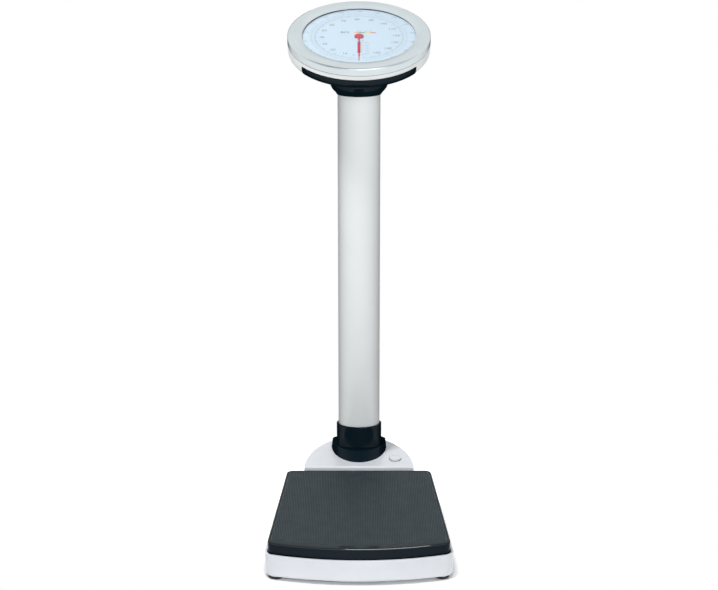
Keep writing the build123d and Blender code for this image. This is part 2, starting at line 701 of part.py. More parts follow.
def block_outline(edge, up):
    """A bearing block with a groove for the knife edge that points into it."""
    y, z = edge
    groove = (BLOCK_LIP + KNIFE_GAP) * tan(radians(GROOVE_HALF_DEG))
    return [
        (y - BLOCK_HALF_D, z - up * BLOCK_H),
        (y + BLOCK_HALF_D, z - up * BLOCK_H),
        (y + BLOCK_HALF_D, z + up * BLOCK_LIP),
        (y + groove, z + up * BLOCK_LIP),
        (y, z - up * KNIFE_GAP),
        (y - groove, z + up * BLOCK_LIP),
        (y - BLOCK_HALF_D, z + up * BLOCK_LIP),
    ]


with BuildPart() as platform_frame:
    frame_outline = tray_outline(FRAME_INSET - TRAY_INSET)
    extrude_outline(frame_outline, FRAME_UNDER_Z, FRAME_TOP_Z)
    rib_z = FRAME_UNDER_Z - FRAME_RIB_H
    frame_rib_y = (FRONT_Y + 3 * FRONT_BOW / 2, TRAY_REAR_Y - FRAME_INSET)
    for y in frame_rib_y:
        edge = half_width(y, 2 * FRAME_INSET)
        box_between((-edge, y - FRAME_RIB_T, rib_z), (edge, y, FRAME_UNDER_Z))
    for low, high in mirrored_x(FRAME_RIB_X, FRAME_RIB_X + FRAME_RIB_T):
        box_between((low, frame_rib_y[0], rib_z), (high, frame_rib_y[1], FRAME_UNDER_Z))
    for y, z in (LONG_LOAD, SHORT_LOAD):
        for low, high in BLOCK_PAIR:
            box_between(
                (low, y - BLOCK_HALF_D, z + BLOCK_H),
                (high, y + BLOCK_HALF_D, FRAME_UNDER_Z),
            )
save(platform_frame.part, "platform_frame")

with BuildPart() as platform_bearings:
    for edge in (LONG_LOAD, SHORT_LOAD):
        for low, high in BLOCK_PAIR:
            prism_x(block_outline(edge, -1), low, high)
save(platform_bearings.part, "platform_bearings")

# Fulcrum stands on the housing floor, with hardened bearings on top
with BuildPart() as fulcrum_stands:
    for y, z in (LONG_FULCRUM, SHORT_FULCRUM):
        top = z - BLOCK_H
        outline = [
            (y - STAND_FOOT_HALF_D, BASE_FLOOR_Z),
            (y + STAND_FOOT_HALF_D, BASE_FLOOR_Z),
            (y + BLOCK_HALF_D, top),
            (y - BLOCK_HALF_D, top),
        ]
        for low, high in BLOCK_PAIR:
            prism_x(outline, low, high)
save(fulcrum_stands.part, "fulcrum_stands")

with BuildPart() as fulcrum_bearings:
    for edge in (LONG_FULCRUM, SHORT_FULCRUM):
        for low, high in BLOCK_PAIR:
            prism_x(block_outline(edge, 1), low, high)
save(fulcrum_bearings.part, "fulcrum_bearings")


def knife(edge, up, x_low, x_high, height=KNIFE_H, mode=Mode.ADD):
    """A three-sided knife along X, with its edge pointing up or down."""
    y, z = edge
    half = height * tan(radians(KNIFE_HALF_DEG))
    back = z - up * height
    prism_x([(y, z), (y - half, back), (y + half, back)], x_low, x_high, mode)


def lever_knives(fulcrum, load, inner_knives, mode=Mode.ADD):
    """The fulcrum and load knives of a lever, and those at its beam."""
    for low, high in mirrored_x(ARM_X, ARM_X + ARM_T + KNIFE_REACH):
        knife(fulcrum, -1, low, high, mode=mode)
        knife(load, 1, low, high, mode=mode)
    for edge, up, height in inner_knives:
        knife(edge, up, -BEAM_W / 2, BEAM_W / 2, height, mode)


def beam_side(root, nose, span, near_y, far_y, edge):
    """The side outline of a tapered beam between two depths."""
    points = []
    for y in (near_y, far_y):
        share = (y - span[0]) / (span[1] - span[0])
        low = root[0] + (nose[0] - root[0]) * share + edge
        high = root[1] + (nose[1] - root[1]) * share - edge
        points += [(y, low), (y, high)]
    return [points[0], points[1], points[3], points[2]]


def beam(root, nose, span, pockets):
    """A tapered I-beam from the cross tube to a little past its nose knife."""
    prism_x(beam_side(root, nose, span, *span, 0), -BEAM_W / 2, BEAM_W / 2)
    for near_y, far_y in pockets:
        pocket = beam_side(root, nose, span, near_y, far_y, BEAM_FLANGE)
        for low, high in mirrored_x(BEAM_WEB / 2, BEAM_W):
            prism_x(pocket, low, high, Mode.SUBTRACT)


def lever(fulcrum, load, tube, root, nose, end_y, pockets, inner_knives):
    """A T-shaped lever: two end arms, a cross tube and a beam."""
    arm_z = (fulcrum[1] + load[1]) / 2
    near, far = sorted((fulcrum[0], load[0]))
    arm = [
        (near - ARM_OVERHANG, arm_z - ARM_HALF_H / 2),
        (near, arm_z - ARM_HALF_H),
        (far, arm_z - ARM_HALF_H),
        (far + ARM_OVERHANG, arm_z - ARM_HALF_H / 2),
        (far + ARM_OVERHANG, arm_z + ARM_HALF_H / 2),
        (far, arm_z + ARM_HALF_H),
        (near, arm_z + ARM_HALF_H),
        (near - ARM_OVERHANG, arm_z + ARM_HALF_H / 2),
    ]
    for low, high in mirrored_x(ARM_X, ARM_X + ARM_T):
        prism_x(arm, low, high)
    rod_x(*tube, CROSS_TUBE_R, -ARM_X, ARM_X)
    beam(root, nose, (tube[0], end_y), pockets)
    lever_knives(fulcrum, load, inner_knives, Mode.SUBTRACT)


LONG_TUBE = (LONG_FULCRUM[0] + LOAD_ARM / 2, LONG_FULCRUM[1] + LONG_TUBE_LIFT)
SHORT_TUBE = (SHORT_FULCRUM[0] - LOAD_ARM / 2, SHORT_FULCRUM[1] - SHORT_TUBE_DROP)
LONG_END_Y = COLUMN_Y + BEAM_OVERHANG
SHORT_END_Y = LINK_Y - BEAM_OVERHANG
LINK_SHARE = (LINK_Y - LONG_TUBE[0]) / (LONG_END_Y - LONG_TUBE[0])
LINK_TOP = LONG_BEAM_ROOT[1] + (LONG_BEAM_NOSE[1] - LONG_BEAM_ROOT[1]) * LINK_SHARE
LONG_LINK_EDGE = (LINK_Y, LINK_TOP + LINK_KNIFE_STAND)
LONG_INNER = [(LONG_LINK_EDGE, 1, KNIFE_H), (LONG_NOSE, -1, KNIFE_H)]
SHORT_INNER = [(SHORT_NOSE, -1, NOSE_KNIFE_H)]

with BuildPart() as long_lever:
    lever(
        LONG_FULCRUM,
        LONG_LOAD,
        LONG_TUBE,
        LONG_BEAM_ROOT,
        LONG_BEAM_NOSE,
        LONG_END_Y,
        [
            (LONG_TUBE[0] + 2 * CROSS_TUBE_R, LINK_Y - 2 * KNIFE_H),
            (LINK_Y + 2 * KNIFE_H, COLUMN_Y - 2 * KNIFE_H),
        ],
        LONG_INNER,
    )
save(long_lever.part, "long_lever")

with BuildPart() as long_lever_knives:
    lever_knives(LONG_FULCRUM, LONG_LOAD, LONG_INNER)
save(long_lever_knives.part, "long_lever_knives")

with BuildPart() as short_lever:
    lever(
        SHORT_FULCRUM,
        SHORT_LOAD,
        SHORT_TUBE,
        SHORT_BEAM_ROOT,
        SHORT_BEAM_NOSE,
        SHORT_END_Y,
        [(SHORT_TUBE[0] - 2 * CROSS_TUBE_R, LINK_Y + 2 * KNIFE_H)],
        SHORT_INNER,
    )
save(short_lever.part, "short_lever")

with BuildPart() as short_lever_knives:
    lever_knives(SHORT_FULCRUM, SHORT_LOAD, SHORT_INNER)
save(short_lever_knives.part, "short_lever_knives")


def ring(y, low_edge_z, high_edge_z):
    """A flat ring round the beams; its bars bear on knife edges."""
    inner = BEAM_W / 2 + RING_GAP
    outer = inner + RING_SIDE
    low = (-outer, y - RING_T / 2, low_edge_z - RING_BAR)
    box_between(low, (outer, y + RING_T / 2, high_edge_z + RING_BAR))
    box_between((-inner, y - RING_T, low_edge_z), (inner, y + RING_T, high_edge_z), Mode.SUBTRACT)


# The link that hangs the short lever's nose on the long lever
with BuildPart() as lever_link:
    ring(LINK_Y, SHORT_NOSE[1] - KNIFE_GAP, LONG_LINK_EDGE[1] + KNIFE_GAP)
save(lever_link.part, "lever_link")

# The stirrup that hangs the rod and its spring on the long lever's nose
with BuildPart() as rod_stirrup:
    ring(COLUMN_Y, LONG_NOSE[1] - KNIFE_GAP, STIRRUP_TOP_Z - RING_BAR)
    with Locations((0, COLUMN_Y, STIRRUP_TOP_Z)):
        Cylinder(SPRING_SEAT_R, SPRING_SEAT_T, align=BASE_ALIGN)
    with Locations((0, COLUMN_Y, SPRING_FOOT_Z)):
        Cylinder(SPRING_PLUG_R, SPRING_PLUG_H, align=BASE_ALIGN)
    with Locations((0, COLUMN_Y, STIRRUP_TOP_Z)):
        Cylinder(ROD_R, 2 * SPRING_PLUG_H, align=BASE_ALIGN, mode=Mode.SUBTRACT)
save(rod_stirrup.part, "rod_stirrup")

CLEVIS_Z = PIVOT.Z + ROD_TRAVEL / 2
CLEVIS_FOOT_Z = CLEVIS_Z - CLEVIS_BELOW
ROD_TOP_Z = CLEVIS_FOOT_Z + CLEVIS_SOCKET[1]

with BuildPart() as pull_rod:
    with Locations((0, COLUMN_Y, STIRRUP_TOP_Z)):
        Cylinder(ROD_R, ROD_TOP_Z - STIRRUP_TOP_Z, align=BASE_ALIGN)
save(pull_rod.part, "pull_rod")

with BuildPart() as rod_clevis:
    box_between(
        (-CLEVIS_T / 2, COLUMN_Y - CLEVIS_HALF_W, CLEVIS_FOOT_Z),
        (CLEVIS_T / 2, COLUMN_Y + CLEVIS_HALF_W, CLEVIS_Z + CLEVIS_ABOVE),
    )
    fillet(rod_clevis.edges().filter_by(Axis.X).group_by(Axis.Z)[-1], CLEVIS_HALF_W / 2)
    with Locations((0, COLUMN_Y, CLEVIS_FOOT_Z)):
        Cylinder(CLEVIS_SOCKET[0], CLEVIS_SOCKET[1] + CLEVIS_T / 2, align=BASE_ALIGN)
        Cylinder(ROD_R, CLEVIS_SOCKET[1], align=BASE_ALIGN, mode=Mode.SUBTRACT)
    slot_y = (COLUMN_Y + ROD_PIN[0]) / 2
    with BuildSketch(Plane.YZ.offset(-CLEVIS_T)) as slot:
        with Locations((slot_y, CLEVIS_Z)):
            SlotOverall(ROD_PIN[0] - COLUMN_Y + SLOT_WIDTH + PIN_PLAY, SLOT_WIDTH)
    extrude(slot.sketch, amount=2 * CLEVIS_T, mode=Mode.SUBTRACT)
save(rod_clevis.part, "rod_clevis")

# The weighing spring, wound between the stirrup and its anchor in the column
spring_low = SPRING_FOOT_Z + SPRING_WIRE / 2
spring_high = SOCKET_TOP_Z - SPRING_WIRE / 2
spring_pitch = (spring_high - spring_low) / SPRING_TURNS
with BuildPart() as weighing_spring:
    with BuildLine() as coil:
        Helix(
            pitch=spring_pitch,
            height=spring_high - spring_low,
            radius=SPRING_MEAN_R,
            center=(0, COLUMN_Y, spring_low),
        )
    with BuildSketch(Plane(origin=coil.line @ 0, z_dir=coil.line % 0)):
        Circle(SPRING_WIRE / 2)
    sweep(is_frenet=True)
save(weighing_spring.part, "weighing_spring")
print("spring: least gap between coils", round(spring_pitch - SPRING_WIRE, 2), "mm")

# Column: an oval drawn tube between the floor socket and the head bracket
with BuildPart() as column_socket:
    with BuildSketch(Plane.XY.offset(BASE_FLOOR_Z)) as plate:
        with Locations(COLUMN_CENTRE):
            RectangleRounded(SOCKET_PLATE[0], SOCKET_PLATE[1], SOCKET_PLATE_R)
    extrude(amount=SOCKET_PLATE[2])
    extrude_outline(column_outline(0), BASE_FLOOR_Z, COLUMN_FOOT_Z)
    extrude_outline(column_outline(SPIGOT_SHRINK), COLUMN_FOOT_Z, SOCKET_TOP_Z)
    inner = column_outline(SPIGOT_SHRINK - SPIGOT_WALL)
    extrude_outline(inner, BASE_FLOOR_Z, SOCKET_TOP_Z, Mode.SUBTRACT)
    half_window, window_low, window_high = SOCKET_WINDOW
    box_between(
        (-half_window / 2, COLUMN_Y - COLUMN_D, window_low),
        (half_window / 2, COLUMN_Y, window_high),
        Mode.SUBTRACT,
    )
    with Locations((0, COLUMN_Y, BASE_FLOOR_Z)):
        with GridLocations(*BOLT_SPACING, 2, 2):
            Cylinder(BOLT_R, 4 * SOCKET_PLATE[2], mode=Mode.SUBTRACT)
    screw_bores(FOOT_SCREWS)
save(column_socket.part, "column_socket")

with BuildPart() as socket_bolts:
    with Locations((0, COLUMN_Y, BASE_FLOOR_Z - BASE_FLOOR_T)):
        with GridLocations(*BOLT_SPACING, 2, 2):
            Cylinder(BOLT_R, BASE_FLOOR_T + SOCKET_PLATE[2], align=BASE_ALIGN)
    with Locations((0, COLUMN_Y, BASE_FLOOR_Z + SOCKET_PLATE[2])):
        with GridLocations(*BOLT_SPACING, 2, 2):
            Cylinder(*BOLT_HEAD, align=BASE_ALIGN)
    with BuildSketch(Plane.XY.offset(BASE_FLOOR_Z + SOCKET_PLATE[2] + BOLT_HEAD[1])) as keyways:
        with Locations(COLUMN_CENTRE):
            with GridLocations(*BOLT_SPACING, 2, 2):
                RegularPolygon(BOLT_HEAD[0] / 2, 6)
    extrude(keyways.sketch, amount=-BOLT_HEAD[1] / 2, mode=Mode.SUBTRACT)
save(socket_bolts.part, "socket_bolts")

with BuildPart() as spring_anchor:
    extrude_outline(column_outline(SPIGOT_SHRINK), SOCKET_TOP_Z, SOCKET_TOP_Z + ANCHOR_T)
    with Locations((0, COLUMN_Y, SOCKET_TOP_Z - SPRING_PLUG_H)):
        Cylinder(SPRING_PLUG_R, SPRING_PLUG_H, align=BASE_ALIGN)
    with Locations((0, COLUMN_Y, SOCKET_TOP_Z)):
        Cylinder(ANCHOR_BORE_R, 4 * SPRING_PLUG_H, mode=Mode.SUBTRACT)
save(spring_anchor.part, "spring_anchor")

with BuildPart() as column:
    extrude_outline(column_outline(0), COLUMN_FOOT_Z, COLUMN_TOP_Z)
    extrude_outline(column_outline(-COLUMN_WALL), COLUMN_FOOT_Z, COLUMN_TOP_Z, Mode.SUBTRACT)
    screw_bores(FOOT_SCREWS + NECK_SCREWS)
save(column.part, "column")

with BuildPart() as column_sleeve:
    extrude_outline(column_outline(SLEEVE_GAP + SLEEVE_T), DECK_TOP_Z, SLEEVE_TOP_Z)
    fillet(column_sleeve.faces().sort_by(Axis.Z)[-1].edges(), SLEEVE_EDGE_R)
    extrude_outline(column_outline(SLEEVE_GAP), DECK_TOP_Z, SLEEVE_TOP_Z, Mode.SUBTRACT)
save(column_sleeve.part, "column_sleeve")


def flange_outline(side, front, rear):
    """An oval, long in front of the column and short behind it."""
    half = FLANGE_HALF_W - side
    mid_y = COLUMN_Y + FLANGE_BACK_SHIFT
    front_b = FLANGE_BACK_SHIFT + FLANGE_FRONT - front
    rear_b = FLANGE_REAR - FLANGE_BACK_SHIFT - rear
    with BuildSketch() as outline:
        with BuildLine():
            EllipticalCenterArc((0, mid_y), half, front_b, start_angle=180, arc_size=180)
            EllipticalCenterArc((0, mid_y), half, rear_b, start_angle=0, arc_size=180)
        make_face()
    return outline.sketch


with BuildPart() as column_flange:
    with BuildSketch(Plane.XY.offset(DECK_TOP_Z)):
        add(flange_outline(0, 0, 0))
    with BuildSketch(Plane.XY.offset(FLANGE_TOP_Z)):
        add(flange_outline(*FLANGE_LEAN))
    loft()
    fillet(column_flange.faces().sort_by(Axis.Z)[-1].edges(), FLANGE_EDGE_R)
    hole = column_outline(SLEEVE_GAP + SLEEVE_T + SPIGOT_GAP)
    extrude_outline(hole, DECK_TOP_Z, FLANGE_TOP_Z, Mode.SUBTRACT)
save(column_flange.part, "column_flange")

with BuildPart() as column_screws:
    for x, side, z in FOOT_SCREWS + NECK_SCREWS:
        grow = NECK_GROW if z > NECK_FOOT_Z else 0
        depth = SPIGOT_WALL + COLUMN_WALL + SPIGOT_GAP + grow
        face_y = screw_face(x, side, grow)
        with Locations(Location((x, face_y - side * depth / 2, z), (90, 0, 0))):
            Cylinder(SCREW_R, depth)
        with Locations(Location((x, face_y, z), (90, 0, 0))):
            Cylinder(SCREW_R / 2, SCREW_R, mode=Mode.SUBTRACT)
save(column_screws.part, "column_screws")

# Head bracket: a spigot in the column, two cheeks and a tilted plate
with BuildPart() as head_bracket:
    spigot = column_outline(SPIGOT_SHRINK)
    extrude_outline(spigot, COLUMN_TOP_Z - SPIGOT_LENGTH, COLUMN_TOP_Z)
    inner = column_outline(SPIGOT_SHRINK - SPIGOT_WALL)
    extrude_outline(inner, COLUMN_TOP_Z - SPIGOT_LENGTH, COLUMN_TOP_Z, Mode.SUBTRACT)
    plate_top_z = COLUMN_TOP_Z + BRACKET_PLATE_T
    extrude_outline(column_outline(-NECK_SLACK), COLUMN_TOP_Z, plate_top_z)
    screw_bores(NECK_SCREWS)
    with Locations((0, COLUMN_Y, COLUMN_TOP_Z)):
        Cylinder(ROD_HOLE_R, 4 * BRACKET_PLATE_T, mode=Mode.SUBTRACT)
    cheek_top = HOUSING_FLAT_DEPTH + BRACKET_TOP_T / 2
    front_top = dial_point(0, BRACKET_CHEEK_V[0], cheek_top)
    rear_top = dial_point(0, BRACKET_CHEEK_V[1], cheek_top)
    rear_low = dial_point(0, BRACKET_CHEEK_V[1], PIVOT_DEPTH + 3 * PIVOT_PIN_R)
    cheek = [
        (COLUMN_Y - BRACKET_FOOT_HALF, plate_top_z - BRACKET_PLATE_T / 2),
        (COLUMN_Y + BRACKET_FOOT_HALF, plate_top_z - BRACKET_PLATE_T / 2),
        (rear_low.Y, rear_low.Z),
        (rear_top.Y, rear_top.Z),
        (front_top.Y, front_top.Z),
    ]
    for low, high in mirrored_x(*BRACKET_CHEEK):
        prism_x(cheek, low, high)
    top_span = (HOUSING_FLAT_DEPTH, HOUSING_FLAT_DEPTH + BRACKET_TOP_T)
    dial_post(0, NECK_SHIFT, BRACKET_TOP_R, top_span)
    half_open = BRACKET_OPENING[0] / 2
    dial_block((-half_open, half_open), BRACKET_OPENING[1:], top_span, Mode.SUBTRACT)
    for x, v in HOUSING_SCREW_PLACES:
        dial_post(x, v, HOUSING_SCREW_R, top_span, Mode.SUBTRACT)
    rod_x(PIVOT.Y, PIVOT.Z, PIVOT_PIN_R, -PIVOT_PIN_HALF, PIVOT_PIN_HALF, Mode.SUBTRACT)
save(head_bracket.part, "head_bracket")


def neck_section(grow, top_r):
    """A loft from the column's section to a round on the tilted head."""
    with BuildSketch(Plane.XY.offset(NECK_FOOT_Z)) as low:
        add(column_outline(grow))
    with BuildSketch(dial_plane(HOUSING_FLAT_DEPTH)) as high:
        with Locations((0, NECK_SHIFT)):
            Circle(top_r)
    return [low.sketch, high.sketch]


with BuildPart() as neck_collar:
    loft(neck_section(NECK_GROW, NECK_TOP_R))
    loft(neck_section(NECK_SLACK, NECK_TOP_R - NECK_WALL), mode=Mode.SUBTRACT)
    screw_bores(NECK_SCREWS)
save(neck_collar.part, "neck_collar")


def band_section(angle, inner, outer):
    """The grip band's section on the housing's rounded corner."""
    middle = (HOUSING_ROLL_R, -HOUSING_ROLL_DEPTH)
    wrap = radians(BAND_WRAP_DEG)
    inner_r = HOUSING_CORNER_R - inner
    outer_r = HOUSING_CORNER_R + outer

    def on_arc(radius, turn):
        return (middle[0] + radius * cos(turn), middle[1] - radius * sin(turn))

    with BuildSketch(section_plane(angle)) as section:
        with BuildLine():
            Polyline(
                on_arc(inner_r, 0),
                (HOUSING_R - inner, -BAND_TOP),
                (HOUSING_R + outer, -BAND_TOP),
                on_arc(outer_r, 0),
            )
            ThreePointArc(on_arc(outer_r, 0), on_arc(outer_r, wrap / 2), on_arc(outer_r, wrap))
            Line(on_arc(outer_r, wrap), on_arc(inner_r, wrap))
            ThreePointArc(on_arc(inner_r, wrap), on_arc(inner_r, wrap / 2), on_arc(inner_r, 0))
        make_face()
    return section.sketch


# Dial housing: a turned dish, open in the floor for the rod's works
with BuildPart() as lower_housing:
    with BuildSketch(section_plane()) as dish:
        with BuildLine():
            corner = (HOUSING_R, -HOUSING_RIM_DEPTH)
            Polyline(
                (0, -HOUSING_TOP_DEPTH),
                (HOUSING_TOP_R, -HOUSING_TOP_DEPTH),
                (HOUSING_TOP_R, -BEZEL_SIDE - HOUSING_GROOVE),
                (HOUSING_R, -BEZEL_SIDE - HOUSING_GROOVE),
                corner,
                (HOUSING_FLAT_R, -HOUSING_FLAT_DEPTH),
                (0, -HOUSING_FLAT_DEPTH),
                close=True,
            )
        make_face()
        fillet(dish.vertices().sort_by_distance(corner)[0], HOUSING_CORNER_R)
    revolve(dish.sketch, axis=DIAL_AXIS)
    with BuildSketch(section_plane()) as hollow:
        with BuildLine():
            inner_r = HOUSING_R - HOUSING_WALL
            top_inner_r = HOUSING_TOP_R - HOUSING_WALL
            lean = atan2(HOUSING_SLOPE, 1)
            inner_corner = (inner_r, -HOUSING_RIM_DEPTH + HOUSING_WALL * tan(HOUSING_TURN))
            inner_flat_r = HOUSING_FLAT_R - HOUSING_WALL * tan(lean / 2)
            ledge_z = -CARRIER_UNDER
            Polyline(
                (0, 0),
                (top_inner_r, 0),
                (top_inner_r, ledge_z),
                (top_inner_r - LEDGE_W, ledge_z),
                (top_inner_r - LEDGE_W, ledge_z - LEDGE_H / 2),
                (top_inner_r, ledge_z - LEDGE_H / 2 - LEDGE_W),
                (inner_r, -BEZEL_SIDE - HOUSING_GROOVE - LEDGE_W),
                inner_corner,
                (inner_flat_r, -HOUSING_FLOOR_DEPTH),
                (0, -HOUSING_FLOOR_DEPTH),
                close=True,
            )
        make_face()
        fillet(
            hollow.vertices().sort_by_distance(inner_corner)[0], HOUSING_CORNER_R - HOUSING_WALL
        )
    revolve(hollow.sketch, axis=DIAL_AXIS, mode=Mode.SUBTRACT)
    half_open, open_low, open_high = HOUSING_OPENING
    floor_span = (HOUSING_FLOOR_DEPTH - 1, HOUSING_FLAT_DEPTH + 1)
    dial_block((-half_open, half_open), (open_low, open_high), floor_span, Mode.SUBTRACT)
    for x, v in HOUSING_SCREW_PLACES:
        dial_post(x, v, HOUSING_SCREW_R, floor_span, Mode.SUBTRACT)
    reach = BAND_HALF_DEG + BAND_END_GAP_DEG
    recess = band_section(-90 - reach, BAND_DEPTH, 2 * BAND_PROUD)
    revolve(recess, axis=DIAL_AXIS, revolution_arc=2 * reach, mode=Mode.SUBTRACT)
save(lower_housing.part, "lower_housing")

with BuildPart() as grip_band:
    strip = band_section(-90 - BAND_HALF_DEG, BAND_DEPTH, BAND_PROUD)
    revolve(strip, axis=DIAL_AXIS, revolution_arc=2 * BAND_HALF_DEG)
save(grip_band.part, "grip_band")

with BuildPart() as housing_screws:
    head_r, head_h = HOUSING_SCREW_HEAD
    for x, v in HOUSING_SCREW_PLACES:
        shank = (HOUSING_FLOOR_DEPTH, HOUSING_FLAT_DEPTH + BRACKET_TOP_T)
        dial_post(x, v, HOUSING_SCREW_R, shank)
        dial_post(x, v, head_r, (HOUSING_FLOOR_DEPTH - head_h, HOUSING_FLOOR_DEPTH))
        slot_half = head_r / 6
        slot_span = (HOUSING_FLOOR_DEPTH - head_h, HOUSING_FLOOR_DEPTH - head_h / 2)
        slot_x = (x - slot_half, x + slot_half)
        dial_block(slot_x, (v - head_r, v + head_r), slot_span, Mode.SUBTRACT)
save(housing_screws.part, "housing_screws")

# Bezel, glass, gasket, dial and the ring that carries them
with BuildPart() as bezel:
    with BuildSketch(section_plane()) as rim:
        with BuildLine():
            outer_roll = BEZEL_ROLL_R
            inner_roll = BEZEL_ROLL_R - BEZEL_T
            centre_r = BEZEL_R - BEZEL_ROLL_R
            centre_z = -BEZEL_ROLL_R
            bend = cos(pi / 4)
            mid_r = (WINDOW_R + BEZEL_FLAT_R) / 2
            Line((BEZEL_FLAT_R, 0), (centre_r, 0))
            ThreePointArc(
                (centre_r, 0),
                (centre_r + outer_roll * bend, centre_z + outer_roll * bend),
                (BEZEL_R, centre_z),
            )
            Polyline(
                (BEZEL_R, centre_z),
                (BEZEL_R, -BEZEL_SIDE),
                (BEZEL_R - BEZEL_T, -BEZEL_SIDE),
                (BEZEL_R - BEZEL_T, centre_z),
            )
            ThreePointArc(
                (BEZEL_R - BEZEL_T, centre_z),
                (centre_r + inner_roll * bend, centre_z + inner_roll * bend),
                (centre_r, -BEZEL_T),
            )
            Line((centre_r, -BEZEL_T), (BEZEL_FLAT_R, -BEZEL_T))
            ThreePointArc(
                (BEZEL_FLAT_R, -BEZEL_T),
                (mid_r, -BEZEL_T - WINDOW_SAG),
                (WINDOW_R, -GLASS_TOP),
            )
            Line((WINDOW_R, -GLASS_TOP), (WINDOW_R, -WINDOW_DROP))
            ThreePointArc((WINDOW_R, -WINDOW_DROP), (mid_r, -WINDOW_SAG), (BEZEL_FLAT_R, 0))
        make_face()
    revolve(rim.sketch, axis=DIAL_AXIS)
save(bezel.part, "bezel")

with BuildPart() as glass:
    turned([(0, GLASS_TOP), (GLASS_R, GLASS_TOP), (GLASS_R, GLASS_UNDER), (0, GLASS_UNDER)])
save(glass.part, "glass")

with BuildPart() as dial_gasket:
    gasket_r = GLASS_R - GASKET_W
    turned(
        [(gasket_r, GLASS_UNDER), (GLASS_R, GLASS_UNDER), (GLASS_R, DIAL_TOP), (gasket_r, DIAL_TOP)]
    )
save(dial_gasket.part, "dial_gasket")

with BuildPart() as dial_plate:
    dial_post(0, 0, GLASS_R + MAT_GAP, (DIAL_TOP, DIAL_UNDER))
    dial_post(0, 0, DIAL_HOLE_R, (DIAL_TOP, DIAL_UNDER), Mode.SUBTRACT)
    slot_x, slot_v = (-SLOT_HALF_W, SLOT_HALF_W), (-SLOT_TO, -SLOT_FROM)
    dial_block(slot_x, slot_v, (DIAL_TOP, DIAL_UNDER), Mode.SUBTRACT)
save(dial_plate.part, "dial_plate")

with BuildPart() as dial_carrier:
    carrier_r = HOUSING_TOP_R - HOUSING_WALL - CARRIER_GAP
    turned(
        [
            (CARRIER_INNER_R, DIAL_UNDER),
            (carrier_r, DIAL_UNDER),
            (carrier_r, CARRIER_UNDER),
            (CARRIER_INNER_R, CARRIER_UNDER),
        ]
    )
save(dial_carrier.part, "dial_carrier")

# Movement: two plates on pillars, with bushes for the spindle and a guide for the rack
PLATE_CENTRE_V = LOWER_PLATE[2]
UPPER_SPAN = (UPPER_PLATE_DEPTH, UPPER_PLATE_DEPTH + PLATE_T)
LOWER_SPAN = (LOWER_PLATE_DEPTH, LOWER_PLATE_DEPTH + PLATE_T)


def plate_blank(width, length, centre_v, span):
    """A flat plate with rounded corners, parallel to the dial."""
    with BuildSketch(dial_plane(span[1])) as blank:
        with Locations((0, centre_v)):
            RectangleRounded(width, length, PLATE_CORNER_R)
    extrude(blank.sketch, amount=span[1] - span[0])


with BuildPart() as movement_plate_upper:
    plate_blank(*UPPER_PLATE, 0, UPPER_SPAN)
    dial_post(0, 0, BUSH_R, UPPER_SPAN, Mode.SUBTRACT)
save(movement_plate_upper.part, "movement_plate_upper")

with BuildPart() as movement_plate_lower:
    plate_blank(LOWER_PLATE[0], LOWER_PLATE[1], PLATE_CENTRE_V, LOWER_SPAN)
    dial_post(0, 0, BUSH_R, LOWER_SPAN, Mode.SUBTRACT)
    dial_block(PLATE_WINDOW[:2], PLATE_WINDOW[2:], LOWER_SPAN, Mode.SUBTRACT)
save(movement_plate_lower.part, "movement_plate_lower")

with BuildPart() as movement_pillars:
    for x in (-1, 1):
        for v in (-1, 1):
            at = (x * PILLAR_AT[0], PLATE_CENTRE_V + v * PILLAR_AT[1])
            dial_post(*at, PILLAR_R, (LOWER_SPAN[1], HOUSING_FLOOR_DEPTH))
            at = (x * SPACER_AT[0], v * SPACER_AT[1])
            dial_post(*at, SPACER_R, (UPPER_SPAN[1], LOWER_SPAN[0]))
save(movement_pillars.part, "movement_pillars")

with BuildPart() as spindle_bushes:
    for inner, outer in ((UPPER_SPAN[1], UPPER_SPAN[0]), LOWER_SPAN):
        side = 1 if outer > inner else -1
        collar = sorted((outer, outer + side * BUSH_COLLAR_T))
        dial_post(0, 0, BUSH_R, sorted((inner, outer)))
        dial_post(0, 0, BUSH_COLLAR_R, collar)
        bore = (min(inner, collar[0]) - 1, max(inner, collar[1]) + 1)
        dial_post(0, 0, SPINDLE_R + RUNNING_GAP, bore, Mode.SUBTRACT)
save(spindle_bushes.part, "spindle_bushes")

RACK_SPAN = (RACK_DEPTH - RACK_T / 2, RACK_DEPTH + RACK_T / 2)
RACK_ROOT_X = PITCH_R + DEDENDUM
RACK_TIP_X = PITCH_R - ADDENDUM
RACK_LOW_V = (RACK_GAPS[0] - RACK_END) * TOOTH_PITCH
LUG_V = PIVOT_V + RACK_TRAVEL / 2
guide_x = (RACK_BACK_X + GUIDE_GAP, RACK_BACK_X + GUIDE_GAP + GUIDE_T)

with BuildPart() as rack_guide:
    dial_block(guide_x, GUIDE_V, (RACK_SPAN[0], LOWER_SPAN[0]))
    dial_block((RACK_ROOT_X, guide_x[1]), GUIDE_V, (RACK_SPAN[1] + GUIDE_GAP, LOWER_SPAN[0]))
    fillet(rack_guide.edges().filter_by(Axis(HEAD_O, HEAD_N)).sort_by(Axis.X)[-2:], GUIDE_EDGE_R)
save(rack_guide.part, "rack_guide")

